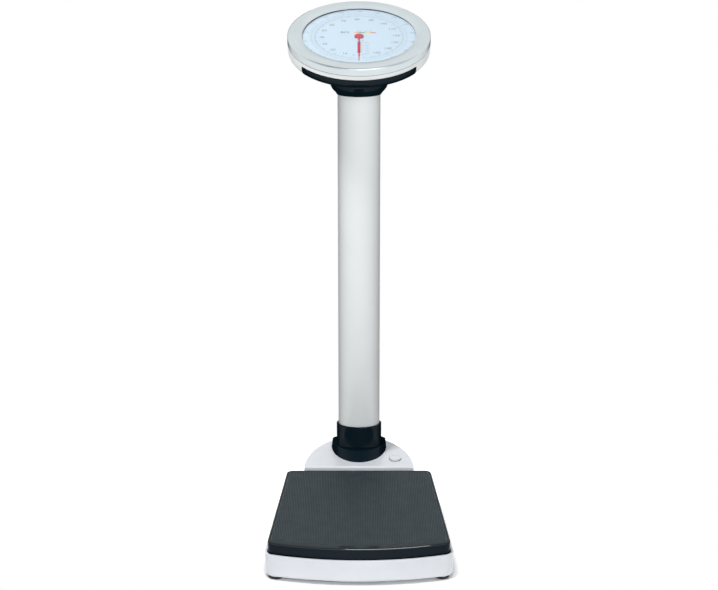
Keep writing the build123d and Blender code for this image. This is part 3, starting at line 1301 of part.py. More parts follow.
# Rack: teeth toward the pinion, with a slotted lug for the bell crank's pin
with BuildPart() as rack:
    with BuildSketch(dial_plane(RACK_SPAN[1])) as bar:
        lug_top_v = LUG_V + LUG_HALF_V
        bar_v = ((RACK_LOW_V + lug_top_v) / 2, lug_top_v - RACK_LOW_V)
        with Locations(((RACK_TIP_X + RACK_BACK_X) / 2, bar_v[0])):
            Rectangle(RACK_BACK_X - RACK_TIP_X, bar_v[1])
        toothless = (RACK_GAPS[1] - 0.5) * TOOTH_PITCH
        with Locations((RACK_TIP_X, (toothless + lug_top_v) / 2 + 1)):
            Rectangle(2 * (LUG_X[0] - RACK_TIP_X), lug_top_v - toothless + 2, mode=Mode.SUBTRACT)
        gap_half = (TOOTH_PITCH + TOOTH_PLAY) / 4
        flank = tan(radians(PRESSURE_DEG))
        for k in range(*RACK_GAPS):
            v = k * TOOTH_PITCH
            wide = gap_half + (ADDENDUM + TOOTH_CUT) * flank
            narrow = gap_half - DEDENDUM * flank
            with BuildLine():
                Polyline(
                    (RACK_TIP_X - TOOTH_CUT, v - wide),
                    (RACK_ROOT_X, v - narrow),
                    (RACK_ROOT_X, v + narrow),
                    (RACK_TIP_X - TOOTH_CUT, v + wide),
                    close=True,
                )
            make_face(mode=Mode.SUBTRACT)
    extrude(bar.sketch, amount=RACK_T)
    lug_v = (LUG_V - LUG_HALF_V, LUG_V + LUG_HALF_V)
    dial_block(LUG_X, lug_v, (RACK_SPAN[0], LUG_DEPTH))
    pin_low = PIVOT_DEPTH - CRANK_LONG * cos(CRANK_SWING / 2)
    slot_span = (CRANK_PIN_DEPTH - SLOT_WIDTH / 2 - PIN_PLAY, pin_low + SLOT_WIDTH / 2 + PIN_PLAY)
    slot_v = (LUG_V - SLOT_WIDTH / 2, LUG_V + SLOT_WIDTH / 2)
    dial_block((0, 2 * RACK_BACK_X), slot_v, slot_span, Mode.SUBTRACT)
save(rack.part, "rack")


def involute_turn(radius):
    """How far an involute of the pinion's base circle has turned at a radius."""
    base = PITCH_R * cos(radians(PRESSURE_DEG))
    angle = acos(min(1, base / radius))
    return tan(angle) - angle


def pinion_points():
    """The pinion's outline, with a tooth centred on +X."""
    base = PITCH_R * cos(radians(PRESSURE_DEG))
    tip = PITCH_R + ADDENDUM
    at_pitch = (TOOTH_PITCH - TOOTH_PLAY) / 4 / PITCH_R + involute_turn(PITCH_R)
    flank = [(PITCH_R - DEDENDUM, at_pitch)]
    for step in range(FLANK_STEPS + 1):
        radius = base + (tip - base) * step / FLANK_STEPS
        flank.append((radius, at_pitch - involute_turn(radius)))
    points = []
    for tooth in range(PINION_TEETH):
        middle = 2 * pi * tooth / PINION_TEETH
        for radius, half in flank:
            points.append((radius * cos(middle - half), radius * sin(middle - half)))
        for radius, half in reversed(flank):
            points.append((radius * cos(middle + half), radius * sin(middle + half)))
    return points


with BuildPart() as pinion:
    with BuildSketch(dial_plane(RACK_DEPTH + PINION_FACE / 2)) as wheel:
        with BuildLine():
            Polyline(*pinion_points(), close=True)
        make_face()
        Circle(SPINDLE_R, mode=Mode.SUBTRACT)
    extrude(wheel.sketch, amount=PINION_FACE)
save(pinion.part, "pinion")

with BuildPart() as spindle:
    dial_post(0, 0, SPINDLE_R, (POINTER_DEPTH, SPINDLE_END_DEPTH))
save(spindle.part, "spindle")

with BuildPart() as bmi_disc:
    disc_under = DISC_DEPTH + DISC_T
    dial_post(0, 0, DISC_R, (DISC_DEPTH, disc_under))
    dial_post(0, 0, COLLAR_R, (disc_under, disc_under + COLLAR_T))
    dial_post(0, 0, SPINDLE_R, (DISC_DEPTH - 1, DISC_DEPTH + 2 * COLLAR_T), Mode.SUBTRACT)
save(bmi_disc.part, "bmi_disc")

with BuildPart() as pointer:
    with BuildSketch(dial_plane(POINTER_DEPTH + POINTER_T)) as hand:
        hub_half, tip_half = (width / 2 for width in POINTER_WIDTH)
        with BuildLine():
            Polyline(
                (-hub_half, 0),
                (-tip_half, -POINTER_LENGTH),
                (tip_half, -POINTER_LENGTH),
                (hub_half, 0),
                close=True,
            )
        make_face()
        Circle(POINTER_EYE_R)
        Circle(SPINDLE_R, mode=Mode.SUBTRACT)
    extrude(hand.sketch, amount=POINTER_T)
save(pointer.part, "pointer")

with BuildPart() as pointer_cap:
    dial_post(0, 0, CAP_R, (POINTER_DEPTH - CAP_T, POINTER_DEPTH))
save(pointer_cap.part, "pointer_cap")


# Bell crank: turns the rod's pull into the rack's slide
def arm_x(start, end, start_r, end_r, x_low, x_high):
    """A tapered arm with round ends, extruded across the scale."""
    dy, dz = end[0] - start[0], end[1] - start[1]
    length = sqrt(dy * dy + dz * dz)
    side = (-dz / length, dy / length)
    with BuildSketch(Plane.YZ.offset(x_low)) as profile:
        with BuildLine():
            Polyline(
                (start[0] + side[0] * start_r, start[1] + side[1] * start_r),
                (end[0] + side[0] * end_r, end[1] + side[1] * end_r),
                (end[0] - side[0] * end_r, end[1] - side[1] * end_r),
                (start[0] - side[0] * start_r, start[1] - side[1] * start_r),
                close=True,
            )
        make_face()
        with Locations(start):
            Circle(start_r)
        with Locations(end):
            Circle(end_r)
    extrude(profile.sketch, amount=x_high - x_low)


with BuildPart() as bell_crank:
    hub = (PIVOT.Y, PIVOT.Z)
    rod_x(*hub, CRANK_HUB_R, -CRANK_HUB_HALF, CRANK_HUB_HALF)
    arm_x(hub, RACK_PIN, CRANK_ARM_R[0], CRANK_ARM_R[1], -ARM_HALF_X, ARM_HALF_X)
    for low, high in mirrored_x(*FORK_X):
        arm_x(hub, ROD_PIN, CRANK_ARM_R[0], CRANK_ARM_R[1], low, high)
    rod_x(*ROD_PIN, CRANK_PIN_R, -FORK_X[1], FORK_X[1])
    rod_x(*RACK_PIN, CRANK_PIN_R, 0, LUG_X[1] + 1)
    bore = PIVOT_PIN_R + RUNNING_GAP
    rod_x(*hub, bore, -2 * CRANK_HUB_HALF, 2 * CRANK_HUB_HALF, Mode.SUBTRACT)
save(bell_crank.part, "bell_crank")

with BuildPart() as crank_pivot_pin:
    rod_x(PIVOT.Y, PIVOT.Z, PIVOT_PIN_R, -PIVOT_PIN_HALF, PIVOT_PIN_HALF)
    chamfer(crank_pivot_pin.edges().filter_by(GeomType.CIRCLE), EDGE_BREAK)
save(crank_pivot_pin.part, "crank_pivot_pin")

# Zero adjuster: a knob on the deck turns a screw that shifts a nut between rails
with BuildPart() as zero_knob:
    with Locations((*ZERO_POS, DECK_TOP_Z + ZERO_KNOB_GAP)):
        Cylinder(ZERO_KNOB_R, ZERO_KNOB_H, align=BASE_ALIGN)
    fillet(zero_knob.faces().sort_by(Axis.Z)[-1].edges(), ZERO_KNOB_EDGE_R)
    with Locations((*ZERO_POS, DECK_TOP_Z + ZERO_KNOB_GAP + ZERO_KNOB_H - ZERO_DISH[1])):
        Cylinder(ZERO_DISH[0], ZERO_KNOB_H, align=BASE_ALIGN, mode=Mode.SUBTRACT)
    with Locations((*ZERO_POS, DECK_TOP_Z)):
        Cylinder(ZERO_SCREW_R, ZERO_KNOB_H, mode=Mode.SUBTRACT)
save(zero_knob.part, "zero_knob")

with BuildPart() as zero_screw:
    screw_foot_z = BASE_FLOOR_Z + RUNNING_GAP
    screw_top_z = DECK_TOP_Z + ZERO_KNOB_H / 2
    with Locations((*ZERO_POS, screw_foot_z)):
        Cylinder(ZERO_SCREW_R, screw_top_z - screw_foot_z, align=BASE_ALIGN)
save(zero_screw.part, "zero_screw")

with BuildPart() as zero_nut:
    with Locations((*ZERO_POS, ZERO_NUT_Z)):
        Box(*ZERO_NUT, align=BASE_ALIGN)
        Cylinder(ZERO_SCREW_R + RUNNING_GAP, 4 * ZERO_NUT[2], mode=Mode.SUBTRACT)
save(zero_nut.part, "zero_nut")

with BuildPart() as zero_bracket:
    with Locations((*ZERO_POS, BASE_FLOOR_Z)):
        Box(*ZERO_BASE, align=BASE_ALIGN)
    rail = ZERO_NUT[1] / 2 + RUNNING_GAP
    x_mid, y_mid = ZERO_POS
    for y in (y_mid + rail, y_mid - rail - ZERO_RAIL_T):
        box_between(
            (x_mid - ZERO_NUT[0] / 2, y, BASE_FLOOR_Z),
            (x_mid + ZERO_NUT[0] / 2, y + ZERO_RAIL_T, ZERO_RAIL_TOP_Z),
        )
    with Locations((*ZERO_POS, BASE_FLOOR_Z)):
        Cylinder(ZERO_SCREW_R + RUNNING_GAP, 4 * ZERO_BASE[2], mode=Mode.SUBTRACT)
save(zero_bracket.part, "zero_bracket")
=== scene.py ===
import json
import math

import bmesh
import bpy
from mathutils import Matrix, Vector

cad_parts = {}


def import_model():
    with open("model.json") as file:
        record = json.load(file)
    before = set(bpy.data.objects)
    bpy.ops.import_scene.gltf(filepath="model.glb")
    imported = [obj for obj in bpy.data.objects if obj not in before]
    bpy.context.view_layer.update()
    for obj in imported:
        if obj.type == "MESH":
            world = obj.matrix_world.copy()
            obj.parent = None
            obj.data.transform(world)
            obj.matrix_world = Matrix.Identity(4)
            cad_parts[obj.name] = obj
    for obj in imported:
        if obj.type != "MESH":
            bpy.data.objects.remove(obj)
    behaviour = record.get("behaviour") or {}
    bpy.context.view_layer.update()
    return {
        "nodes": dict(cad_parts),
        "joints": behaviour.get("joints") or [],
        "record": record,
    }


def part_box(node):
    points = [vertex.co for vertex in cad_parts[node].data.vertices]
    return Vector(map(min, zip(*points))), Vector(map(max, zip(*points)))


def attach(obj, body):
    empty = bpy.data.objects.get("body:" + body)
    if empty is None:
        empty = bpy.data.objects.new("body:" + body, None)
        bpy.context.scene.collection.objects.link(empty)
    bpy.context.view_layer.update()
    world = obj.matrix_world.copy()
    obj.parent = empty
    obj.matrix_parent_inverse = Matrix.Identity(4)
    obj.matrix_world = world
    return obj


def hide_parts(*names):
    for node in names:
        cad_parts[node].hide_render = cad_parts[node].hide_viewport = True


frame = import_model()
nodes = frame["nodes"]
MM = 0.001
Z_UP = Vector((0, 0, 1))
TOUCH = 1e-5

# The dial's own frame: x to the right, v toward the top of the dial, n out of its face
pointer_joint = next(joint for joint in frame["joints"] if joint["name"] == "pointer_turn")
HUB = Vector(pointer_joint["pos_m"])
DIAL_N = -Vector(pointer_joint["axis"]).normalized()
DIAL_X = Vector((1.0, 0.0, 0.0))
DIAL_V = DIAL_N.cross(DIAL_X)
FULL_TURN_DEG, FULL_KG, FULL_LB = 354.2, 160, 350
DEG_PER_KG = FULL_TURN_DEG / FULL_KG
KG_PER_LB = 0.45359
BEZEL_R = (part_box("bezel")[1].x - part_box("bezel")[0].x) / 2
INK_LIFT = 0.05 * MM


def dial_span(node):
    """The lowest and the highest place of a node along the dial's axis, from the hub."""
    heights = [(v.co - HUB).dot(DIAL_N) for v in nodes[node].data.vertices]
    return min(heights), max(heights)


DIAL_FACE = dial_span("dial_plate")[1]


def on_dial(x, v, lift=INK_LIFT):
    """A point on the dial, with x and v in shares of the bezel's radius."""
    return HUB + DIAL_X * (x * BEZEL_R) + DIAL_V * (v * BEZEL_R) + DIAL_N * (DIAL_FACE + lift)


# Node trees
class Tree:
    """A material's node tree, with short calls for what the finishes share."""

    def __init__(self, name):
        self.material = bpy.data.materials.new(name)
        self.material.use_nodes = True
        self.tree = self.material.node_tree
        self.tree.nodes.clear()
        self.out = self.add("ShaderNodeOutputMaterial")
        self.coords = self.add("ShaderNodeTexCoord")

    def add(self, kind, **settings):
        node = self.tree.nodes.new(kind)
        for key, value in settings.items():
            setattr(node, key, value)
        return node

    def link(self, source, target):
        self.tree.links.new(source, target)

    def feed(self, node, **values):
        for key, value in values.items():
            socket = node.inputs[key.replace("_", " ")]
            if hasattr(value, "is_output"):
                self.link(value, socket)
            else:
                socket.default_value = value

    def math(self, operation, a, b=0.0, clamp=False):
        node = self.add("ShaderNodeMath", operation=operation, use_clamp=clamp)
        for index, value in enumerate((a, b)):
            if hasattr(value, "is_output"):
                self.link(value, node.inputs[index])
            else:
                node.inputs[index].default_value = value
        return node.outputs[0]

    def scaled(self, scale):
        mapping = self.add("ShaderNodeMapping")
        self.link(self.coords.outputs["Object"], mapping.inputs["Vector"])
        mapping.inputs["Scale"].default_value = scale
        return mapping.outputs["Vector"]

    def noise(self, size, detail=3.0, roughness=0.55, stretch=(1.0, 1.0, 1.0)):
        """Noise whose grains are about size metres across."""
        node = self.add("ShaderNodeTexNoise")
        scale = tuple(part / size for part in stretch)
        self.link(self.scaled(scale), node.inputs["Vector"])
        self.feed(node, Scale=1.0, Detail=detail, Roughness=roughness)
        return node.outputs["Fac"]

    def ramp(self, factor, stops, interpolation="LINEAR"):
        node = self.add("ShaderNodeValToRGB")
        node.color_ramp.interpolation = interpolation
        elements = node.color_ramp.elements
        elements[0].position, elements[0].color = stops[0][0], (*stops[0][1], 1.0)
        elements[1].position, elements[1].color = stops[-1][0], (*stops[-1][1], 1.0)
        for position, colour in stops[1:-1]:
            elements.new(position).color = (*colour, 1.0)
        self.link(factor, node.inputs["Fac"])
        return node.outputs["Color"]

    def varied(self, factor, colour, darker, lighter, start=0.3, end=0.7):
        """A colour that runs from darker to lighter between two levels of a noise."""
        return self.ramp(factor, [(start, tone(colour, darker)), (end, tone(colour, lighter))])

    def spread(self, factor, low, high):
        node = self.add("ShaderNodeMapRange")
        self.feed(node, Value=factor, To_Min=low, To_Max=high)
        return node.outputs["Result"]

    def toward_edge(self, colour, dark, start=0.55, end=0.95):
        """A colour with painted shade: it darkens where the surface turns away from the eye."""
        mix = self.add("ShaderNodeMix", data_type="RGBA", blend_type="MULTIPLY")
        mix.inputs["Factor"].default_value = 1.0
        colour_a, colour_b = [socket for socket in mix.inputs if socket.type == "RGBA"]
        self.link(colour, colour_a)
        self.link(self.by_facing(1.0, dark, start, end), colour_b)
        return next(socket for socket in mix.outputs if socket.type == "RGBA")

    def by_facing(self, facing, turned_away, start, end):
        """A value that changes where the surface turns away from the eye."""
        weight = self.add("ShaderNodeLayerWeight")
        weight.inputs["Blend"].default_value = 0.5
        levels = [(start, (facing,) * 3), (end, (turned_away,) * 3)]
        return self.ramp(weight.outputs["Facing"], levels)

    def bump(self, height, distance, strength=1.0, normal=None):
        node = self.add("ShaderNodeBump")
        self.feed(node, Height=height, Distance=distance, Strength=strength)
        if normal is not None:
            self.link(normal, node.inputs["Normal"])
        return node.outputs["Normal"]

    def soft_edge(self, radius):
        node = self.add("ShaderNodeBevel", samples=6)
        node.inputs["Radius"].default_value = radius
        return node.outputs["Normal"]

    def principled(self, **values):
        shader = self.add("ShaderNodeBsdfPrincipled")
        self.feed(shader, **values)
        return shader

    def finish(self, shader):
        self.link(shader.outputs[0], self.out.inputs["Surface"])
        return self.material


def tone(colour, factor):
    return tuple(min(1.0, part * factor) for part in colour)


def moulded(
    name,
    colour,
    roughness,
    grain,
    edge=0.4 * MM,
    coat=0.0,
    depth=0.012 * MM,
    shine=0.5,
    rim=None,
    quiet_rim=False,
):
    """Moulded plastic: a faint orange-peel skin, slight clouding and soft edges, plus painted
    shade darkening the colour towards its outline when rim is given.
    """
    t = Tree(name)
    cloud = t.noise(60 * MM, 2.0)
    skin = t.noise(grain, 2.0)
    fine = t.noise(0.25 * MM, 2.0)
    height = t.math("ADD", skin, t.math("MULTIPLY", fine, 0.25))
    clouded = t.varied(cloud, colour, 0.97, 1.03)
    shader = t.principled(
        # Painted shade: with rim set, the colour darkens where the surface turns from the eye
        Base_Color=t.toward_edge(clouded, rim) if rim else clouded,
        Roughness=t.spread(fine, roughness * 0.85, roughness * 1.2),
        Normal=t.bump(height, depth, 1.0, t.soft_edge(edge)),
        Specular_IOR_Level=t.by_facing(shine, 0.0, 0.08, 0.45) if quiet_rim else shine,
        Coat_Weight=coat,
        Coat_Roughness=0.08,
    )
    return t.finish(shader)


RIM_FROM, RIM_TO = 3.0 * MM, 2.0 * MM


def polished_rim(name, colour, top):
    """Moulded plastic whose rolled top edge is polished."""
    t = Tree(name)
    skin = t.noise(2.2 * MM, 2.0)
    split = t.add("ShaderNodeSeparateXYZ")
    t.link(t.coords.outputs["Object"], split.inputs[0])
    rolled = t.add("ShaderNodeMapRange")
    t.feed(rolled, Value=split.outputs["Z"], From_Min=top - RIM_FROM, From_Max=top - RIM_TO)
    gloss = t.math("MULTIPLY", rolled.outputs["Result"], t.by_facing(1.0, 0.0, 0.02, 0.25))
    shader = t.principled(
        Base_Color=t.varied(skin, colour, 0.95, 1.05),
        Roughness=t.spread(skin, 0.07, 0.1),
        Normal=t.bump(skin, 0.003 * MM, 1.0, t.soft_edge(0.3 * MM)),
        Specular_IOR_Level=t.spread(gloss, 0.12, 1.0),
        Coat_Weight=gloss,
        Coat_Roughness=0.06,
    )
    return t.finish(shader)


def metal(name, colour, roughness, stretch, grain, depth=0.004 * MM, edge=0.25 * MM, metallic=1.0):
    """Drawn, turned or plated metal, with fine marks along one direction."""
    t = Tree(name)
    marks = t.noise(grain, 3.0, 0.6, stretch)
    cloud = t.noise(35 * MM, 3.0)
    shader = t.principled(
        Base_Color=t.varied(cloud, colour, 0.93, 1.05, 0.25, 0.75),
        Metallic=metallic,
        Roughness=t.spread(marks, roughness * 0.8, roughness * 1.25),
        Normal=t.bump(marks, depth, 1.0, t.soft_edge(edge)),
    )
    return t.finish(shader)


def rubber(name, colour, roughness=0.62, grain=0.6 * MM, shine=0.3):
    """Moulded rubber with a matt grain and a faint bloom."""
    t = Tree(name)
    bloom = t.noise(25 * MM, 4.0)
    pores = t.noise(grain, 2.0)
    shader = t.principled(
        Base_Color=t.varied(bloom, colour, 0.88, 1.2, 0.3, 0.75),
        Roughness=t.spread(pores, roughness * 0.9, roughness * 1.15),
        Normal=t.bump(pores, 0.03 * MM, 1.0, t.soft_edge(0.3 * MM)),
        Specular_IOR_Level=shine,
    )
    return t.finish(shader)


def lacquered_column(name):
    """Satin silver lacquer on a drawn tube, with faint lines along its length and painted shade
    darkening it towards its sides.
    """
    t = Tree(name)
    draw = t.noise(0.9 * MM, 3.0, 0.6, (1.0, 1.0, 0.004))
    flake = t.noise(0.12 * MM, 1.0)
    cloud = t.noise(180 * MM, 2.0)
    clouded = t.varied(cloud, (0.87, 0.90, 0.90), 0.97, 1.02)
    shader = t.principled(
        # Painted shade: the colour darkens towards the column's sides, where it turns from the eye
        Base_Color=t.toward_edge(clouded, 0.45, 0.02, 0.6),
        Metallic=0.15,
        Roughness=t.spread(flake, 0.34, 0.46),
        Normal=t.bump(draw, 0.006 * MM, 1.0, t.soft_edge(0.3 * MM)),
        Coat_Weight=0.25,
        Coat_Roughness=0.25,
    )
    return t.finish(shader)


def cast_iron(name):
    """Sand-cast and primed, with a coarse skin."""
    t = Tree(name)
    coarse = t.noise(1.6 * MM, 5.0)
    cloud = t.noise(30 * MM, 3.0)
    shader = t.principled(
        Base_Color=t.ramp(cloud, [(0.2, (0.075, 0.085, 0.09)), (0.8, (0.12, 0.13, 0.14))]),
        Metallic=0.3,
        Roughness=t.spread(coarse, 0.5, 0.75),
        Normal=t.bump(coarse, 0.18 * MM, 1.0, t.soft_edge(0.8 * MM)),
    )
    return t.finish(shader)


def clear_glass(name):
    """Clear float glass that lets light through to the dial."""
    t = Tree(name)
    smear = t.noise(45 * MM, 4.0)
    shader = t.principled(
        Base_Color=(0.97, 0.99, 0.99, 1.0),
        Roughness=t.spread(smear, 0.0, 0.03),
        IOR=1.2,
        Transmission_Weight=1.0,
    )
    clear = t.add("ShaderNodeBsdfTransparent")
    path = t.add("ShaderNodeLightPath")
    mix = t.add("ShaderNodeMixShader")
    lets_by = t.math("MAXIMUM", path.outputs["Is Shadow Ray"], path.outputs["Is Diffuse Ray"])
    t.link(lets_by, mix.inputs[0])
    t.link(shader.outputs[0], mix.inputs[1])
    t.link(clear.outputs[0], mix.inputs[2])
    return t.finish(mix)


def ink(name, colour, roughness=0.45):
    """Screen-printed ink, a little uneven."""
    t = Tree(name)
    patch = t.noise(1.2 * MM, 3.0)
    shader = t.principled(
        Base_Color=t.varied(patch, colour, 0.85, 1.12, 0.25, 0.8),
        Roughness=t.spread(patch, roughness * 0.85, roughness * 1.15),
    )
    return t.finish(shader)


def dial_offsets(t):
    """Sockets for x and v on the dial, in metres from the hub."""
    away = t.add("ShaderNodeVectorMath", operation="SUBTRACT")
    t.link(t.coords.outputs["Object"], away.inputs[0])
    away.inputs[1].default_value = HUB
    parts = []
    for direction in (DIAL_X, DIAL_V):
        dot = t.add("ShaderNodeVectorMath", operation="DOT_PRODUCT")
        t.link(away.outputs[0], dot.inputs[0])
        dot.inputs[1].default_value = direction
        parts.append(dot.outputs["Value"])
    return parts


def dial_radius(t, x, v):
    square = t.math("ADD", t.math("MULTIPLY", x, x), t.math("MULTIPLY", v, v))
    return t.math("SQRT", square)


ORANGE = (0.93, 0.33, 0.05)
GREEN = (0.03, 0.34, 0.16)
YELLOW = (0.93, 0.62, 0.06)
RED = (0.66, 0.015, 0.04)
ZONE_STOPS = [(0.0, RED), (0.08, RED), (0.24, ORANGE), (0.37, GREEN), (0.50, YELLOW), (0.60, RED)]
FULL_INDEX, LEAST_KG = 50.0, 0.5
SLOT_TOP_CM, SLOT_FOOT_CM = 210.0, 120.0
SLOT_TOP_R, SLOT_FOOT_R = 0.142 * BEZEL_R, 0.476 * BEZEL_R


def zone_disc(name):
    """The turning disc: zones by weight round it and by height along its radius."""
    t = Tree(name)
    x, v = dial_offsets(t)
    turn = t.math("ARCTAN2", x, t.math("MULTIPLY", v, -1.0))
    degrees = t.math("MULTIPLY", turn, 180.0 / math.pi)
    positive = t.math("MODULO", t.math("ADD", degrees, 360.0), 360.0)
    weight = t.math("MAXIMUM", t.math("DIVIDE", positive, DEG_PER_KG), LEAST_KG)
    radius = dial_radius(t, x, v)
    slope = (SLOT_FOOT_CM - SLOT_TOP_CM) / (SLOT_FOOT_R - SLOT_TOP_R) / 100.0
    rise = t.math("MULTIPLY", t.math("SUBTRACT", radius, SLOT_TOP_R), slope)
    height = t.math("ADD", rise, SLOT_TOP_CM / 100.0)
    index = t.math("DIVIDE", weight, t.math("MULTIPLY", height, height))
    share = t.math("DIVIDE", index, FULL_INDEX, clamp=True)
    patch = t.noise(1.5 * MM, 3.0)
    shader = t.principled(
        Base_Color=t.ramp(share, ZONE_STOPS, "CONSTANT"),
        Roughness=t.spread(patch, 0.35, 0.5),
    )
    return t.finish(shader)


def bezel_metal(name):
    """Satin pressed aluminium, brushed round the dial's axis, with painted shade darkening its
    colour where it turns from the eye.
    """
    t = Tree(name)
    x, v = dial_offsets(t)
    radius = dial_radius(t, x, v)
    turn = t.math("ARCTAN2", v, x)
    combined = t.add("ShaderNodeCombineXYZ")
    t.link(t.math("MULTIPLY", radius, 2500.0), combined.inputs[0])
    t.link(t.math("MULTIPLY", turn, 2.0), combined.inputs[1])
    lines = t.add("ShaderNodeTexNoise")
    t.link(combined.outputs[0], lines.inputs["Vector"])
    t.feed(lines, Scale=1.0, Detail=3.0, Roughness=0.6)
    marks = lines.outputs["Fac"]
    cloud = t.noise(50 * MM, 2.0)
    clouded = t.varied(cloud, (0.75, 0.815, 0.835), 0.97, 1.02)
    shader = t.principled(
        # Painted shade: the colour darkens sharply where the bezel turns from the eye
        Base_Color=t.toward_edge(clouded, 0.25, 0.7, 0.9),
        Specular_Tint=(0.35, 0.38, 0.40, 1.0),
        Metallic=0.95,
        Roughness=t.spread(marks, 0.38, 0.48),
        Normal=t.bump(marks, 0.004 * MM, 1.0, t.soft_edge(0.4 * MM)),
    )
    return t.finish(shader)


def enamel(name, colour):
    """The dial's baked enamel: smooth, pale and faintly clouded."""
    t = Tree(name)
    cloud = t.noise(40 * MM, 2.0)
    peel = t.noise(1.4 * MM, 2.0)
    shader = t.principled(
        Base_Color=t.varied(cloud, colour, 0.985, 1.01),
        Roughness=t.spread(peel, 0.3, 0.4),
        Normal=t.bump(peel, 0.004 * MM),
    )
    return t.finish(shader)


WHITE_SHELL = (0.80, 0.83, 0.87)
BLACK_GLOSS = (0.0035, 0.0105, 0.016)
FINISHES = {
    "base_shell": moulded("finish_base_shell", WHITE_SHELL, 0.32, 1.6 * MM, coat=0.2),
    "foot_rubber": rubber("finish_foot_rubber", (0.02, 0.021, 0.023)),
    "castor_plastic": moulded("finish_castor", (0.045, 0.048, 0.052), 0.5, 1.0 * MM),
    "zinc_steel": metal("finish_zinc", (0.66, 0.67, 0.66), 0.34, (1, 1, 1), 2.5 * MM),
    "bright_steel": metal("finish_bright_steel", (0.70, 0.70, 0.71), 0.22, (1, 1, 0.1), 0.5 * MM),
    "knife_steel": metal("finish_knife_steel", (0.48, 0.49, 0.51), 0.26, (0.05, 1, 1), 0.4 * MM),
    "lever_iron": cast_iron("finish_lever_iron"),
    "spring_steel": metal("finish_spring", (0.42, 0.42, 0.44), 0.3, (1, 1, 1), 0.7 * MM),
    "brass": metal("finish_brass", (0.78, 0.57, 0.24), 0.24, (1, 0.08, 1), 0.6 * MM),
    "black_gloss": moulded(
        "finish_black_gloss", BLACK_GLOSS, 0.14, 2.2 * MM, shine=0.2, quiet_rim=True
    ),
    "mat_rubber": rubber("finish_mat", (0.019, 0.029, 0.034), 0.6, 0.5 * MM, 0.12),
    "column_silver": lacquered_column("finish_column"),
    # Painted shade: rim=0.6 darkens the head shell's colour where it turns from the eye
    "head_shell": moulded(
        "finish_head_shell", (0.86, 0.88, 0.87), 0.25, 1.8 * MM, coat=0.4, rim=0.6
    ),
    "bezel_metal": bezel_metal("finish_bezel"),
    "gasket_rubber": rubber("finish_gasket", (0.02, 0.02, 0.022)),
    "glass": clear_glass("finish_glass"),
    "dial_print": enamel("finish_dial", (0.545, 0.665, 0.775)),
    "disc_print": zone_disc("finish_zone_disc"),
    "pointer_red": moulded("finish_pointer", (0.50, 0.006, 0.035), 0.3, 0.8 * MM, shine=0.3),
}
SMOOTH_DEG = 32.0
TRAY_GLOSS = polished_rim("finish_tray", BLACK_GLOSS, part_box("platform_tray")[1].z)


def shade(obj):
    """Smooth shading, with edges sharper than SMOOTH_DEG left crisp."""
    obj.data.polygons.foreach_set("use_smooth", [True] * len(obj.data.polygons))
    obj.data.set_sharp_from_angle(angle=math.radians(SMOOTH_DEG))


for part in frame["record"]["subparts"]:
    node = nodes[part["node"]]
    is_tray = part["node"] == "platform_tray"
    node.data.materials.clear()
    node.data.materials.append(TRAY_GLOSS if is_tray else FINISHES[part["material_slot"]])
    shade(node)


def piece(name, mesh, body, slot, material=None):
    """A new piece of the scene, made of a bmesh and riding on a body."""
    bmesh.ops.recalc_face_normals(mesh, faces=mesh.faces)
    data = bpy.data.meshes.new(name)
    mesh.to_mesh(data)
    mesh.free()
    obj = bpy.data.objects.new(name, data)
    bpy.context.scene.collection.objects.link(obj)
    obj.data.materials.append(material or FINISHES[slot])
    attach(obj, body)
    return obj


# Printing on the dial: flat inked shapes just above the enamel
CAPITAL_SHARE = 0.73


def polar(angle, radius):
    """The x and v of a point at an angle clockwise from the front of the dial."""
    turn = math.radians(angle)
    return -math.sin(turn) * radius, -math.cos(turn) * radius


class Print:
    """Collects flat shapes on the dial, in shares of the bezel's radius."""

    def __init__(self):
        self.mesh = bmesh.new()

    def polygon(self, points):
        self.mesh.faces.new([self.mesh.verts.new(on_dial(x, v)) for x, v in points])

    def tick(self, angle, near, far, width):
        """A radial mark at an angle clockwise from the front of the dial."""
        along = Vector(polar(angle, 1.0))
        side = Vector((-along.y, along.x)) * (width / 2)
        near_mid, far_mid = along * near, along * far
        self.polygon([near_mid - side, far_mid - side, far_mid + side, near_mid + side])

    def dot(self, angle, radius, size):
        x, v = polar(angle, radius)
        corners = [math.pi * k / 3 for k in range(6)]
        self.polygon([(x + size * math.cos(a), v + size * math.sin(a)) for a in corners])

    def bar(self, x_span, v_span):
        (x0, x1), (v0, v1) = x_span, v_span
        self.polygon([(x0, v0), (x1, v0), (x1, v1), (x0, v1)])

    def text(self, words, x, v, height):
        """Upright words whose capitals are height tall, centred on x and v."""
        curve = bpy.data.curves.new("words", "FONT")
        curve.body = words
        curve.align_x = "CENTER"
        curve.resolution_u = 3
        holder = bpy.data.objects.new("words", curve)
        bpy.context.scene.collection.objects.link(holder)
        bpy.context.view_layer.update()
        flat = bpy.data.meshes.new_from_object(holder)
        scale = height / CAPITAL_SHARE
        start = len(self.mesh.verts)
        self.mesh.from_mesh(flat)
        self.mesh.verts.ensure_lookup_table()
        for vert in self.mesh.verts[start:]:
            vert.co = on_dial(x + vert.co.x * scale, v + vert.co.y * scale - height / 2)
        bpy.data.objects.remove(holder)
        bpy.data.meshes.remove(flat)
        bpy.data.curves.remove(curve)

    def piece(self, name, material):
        return piece(name, self.mesh, "base", "dial_print", material)


DARK_INK = ink("ink_dark", (0.13, 0.15, 0.17))
GREY_INK = ink("ink_grey", (0.27, 0.31, 0.34))

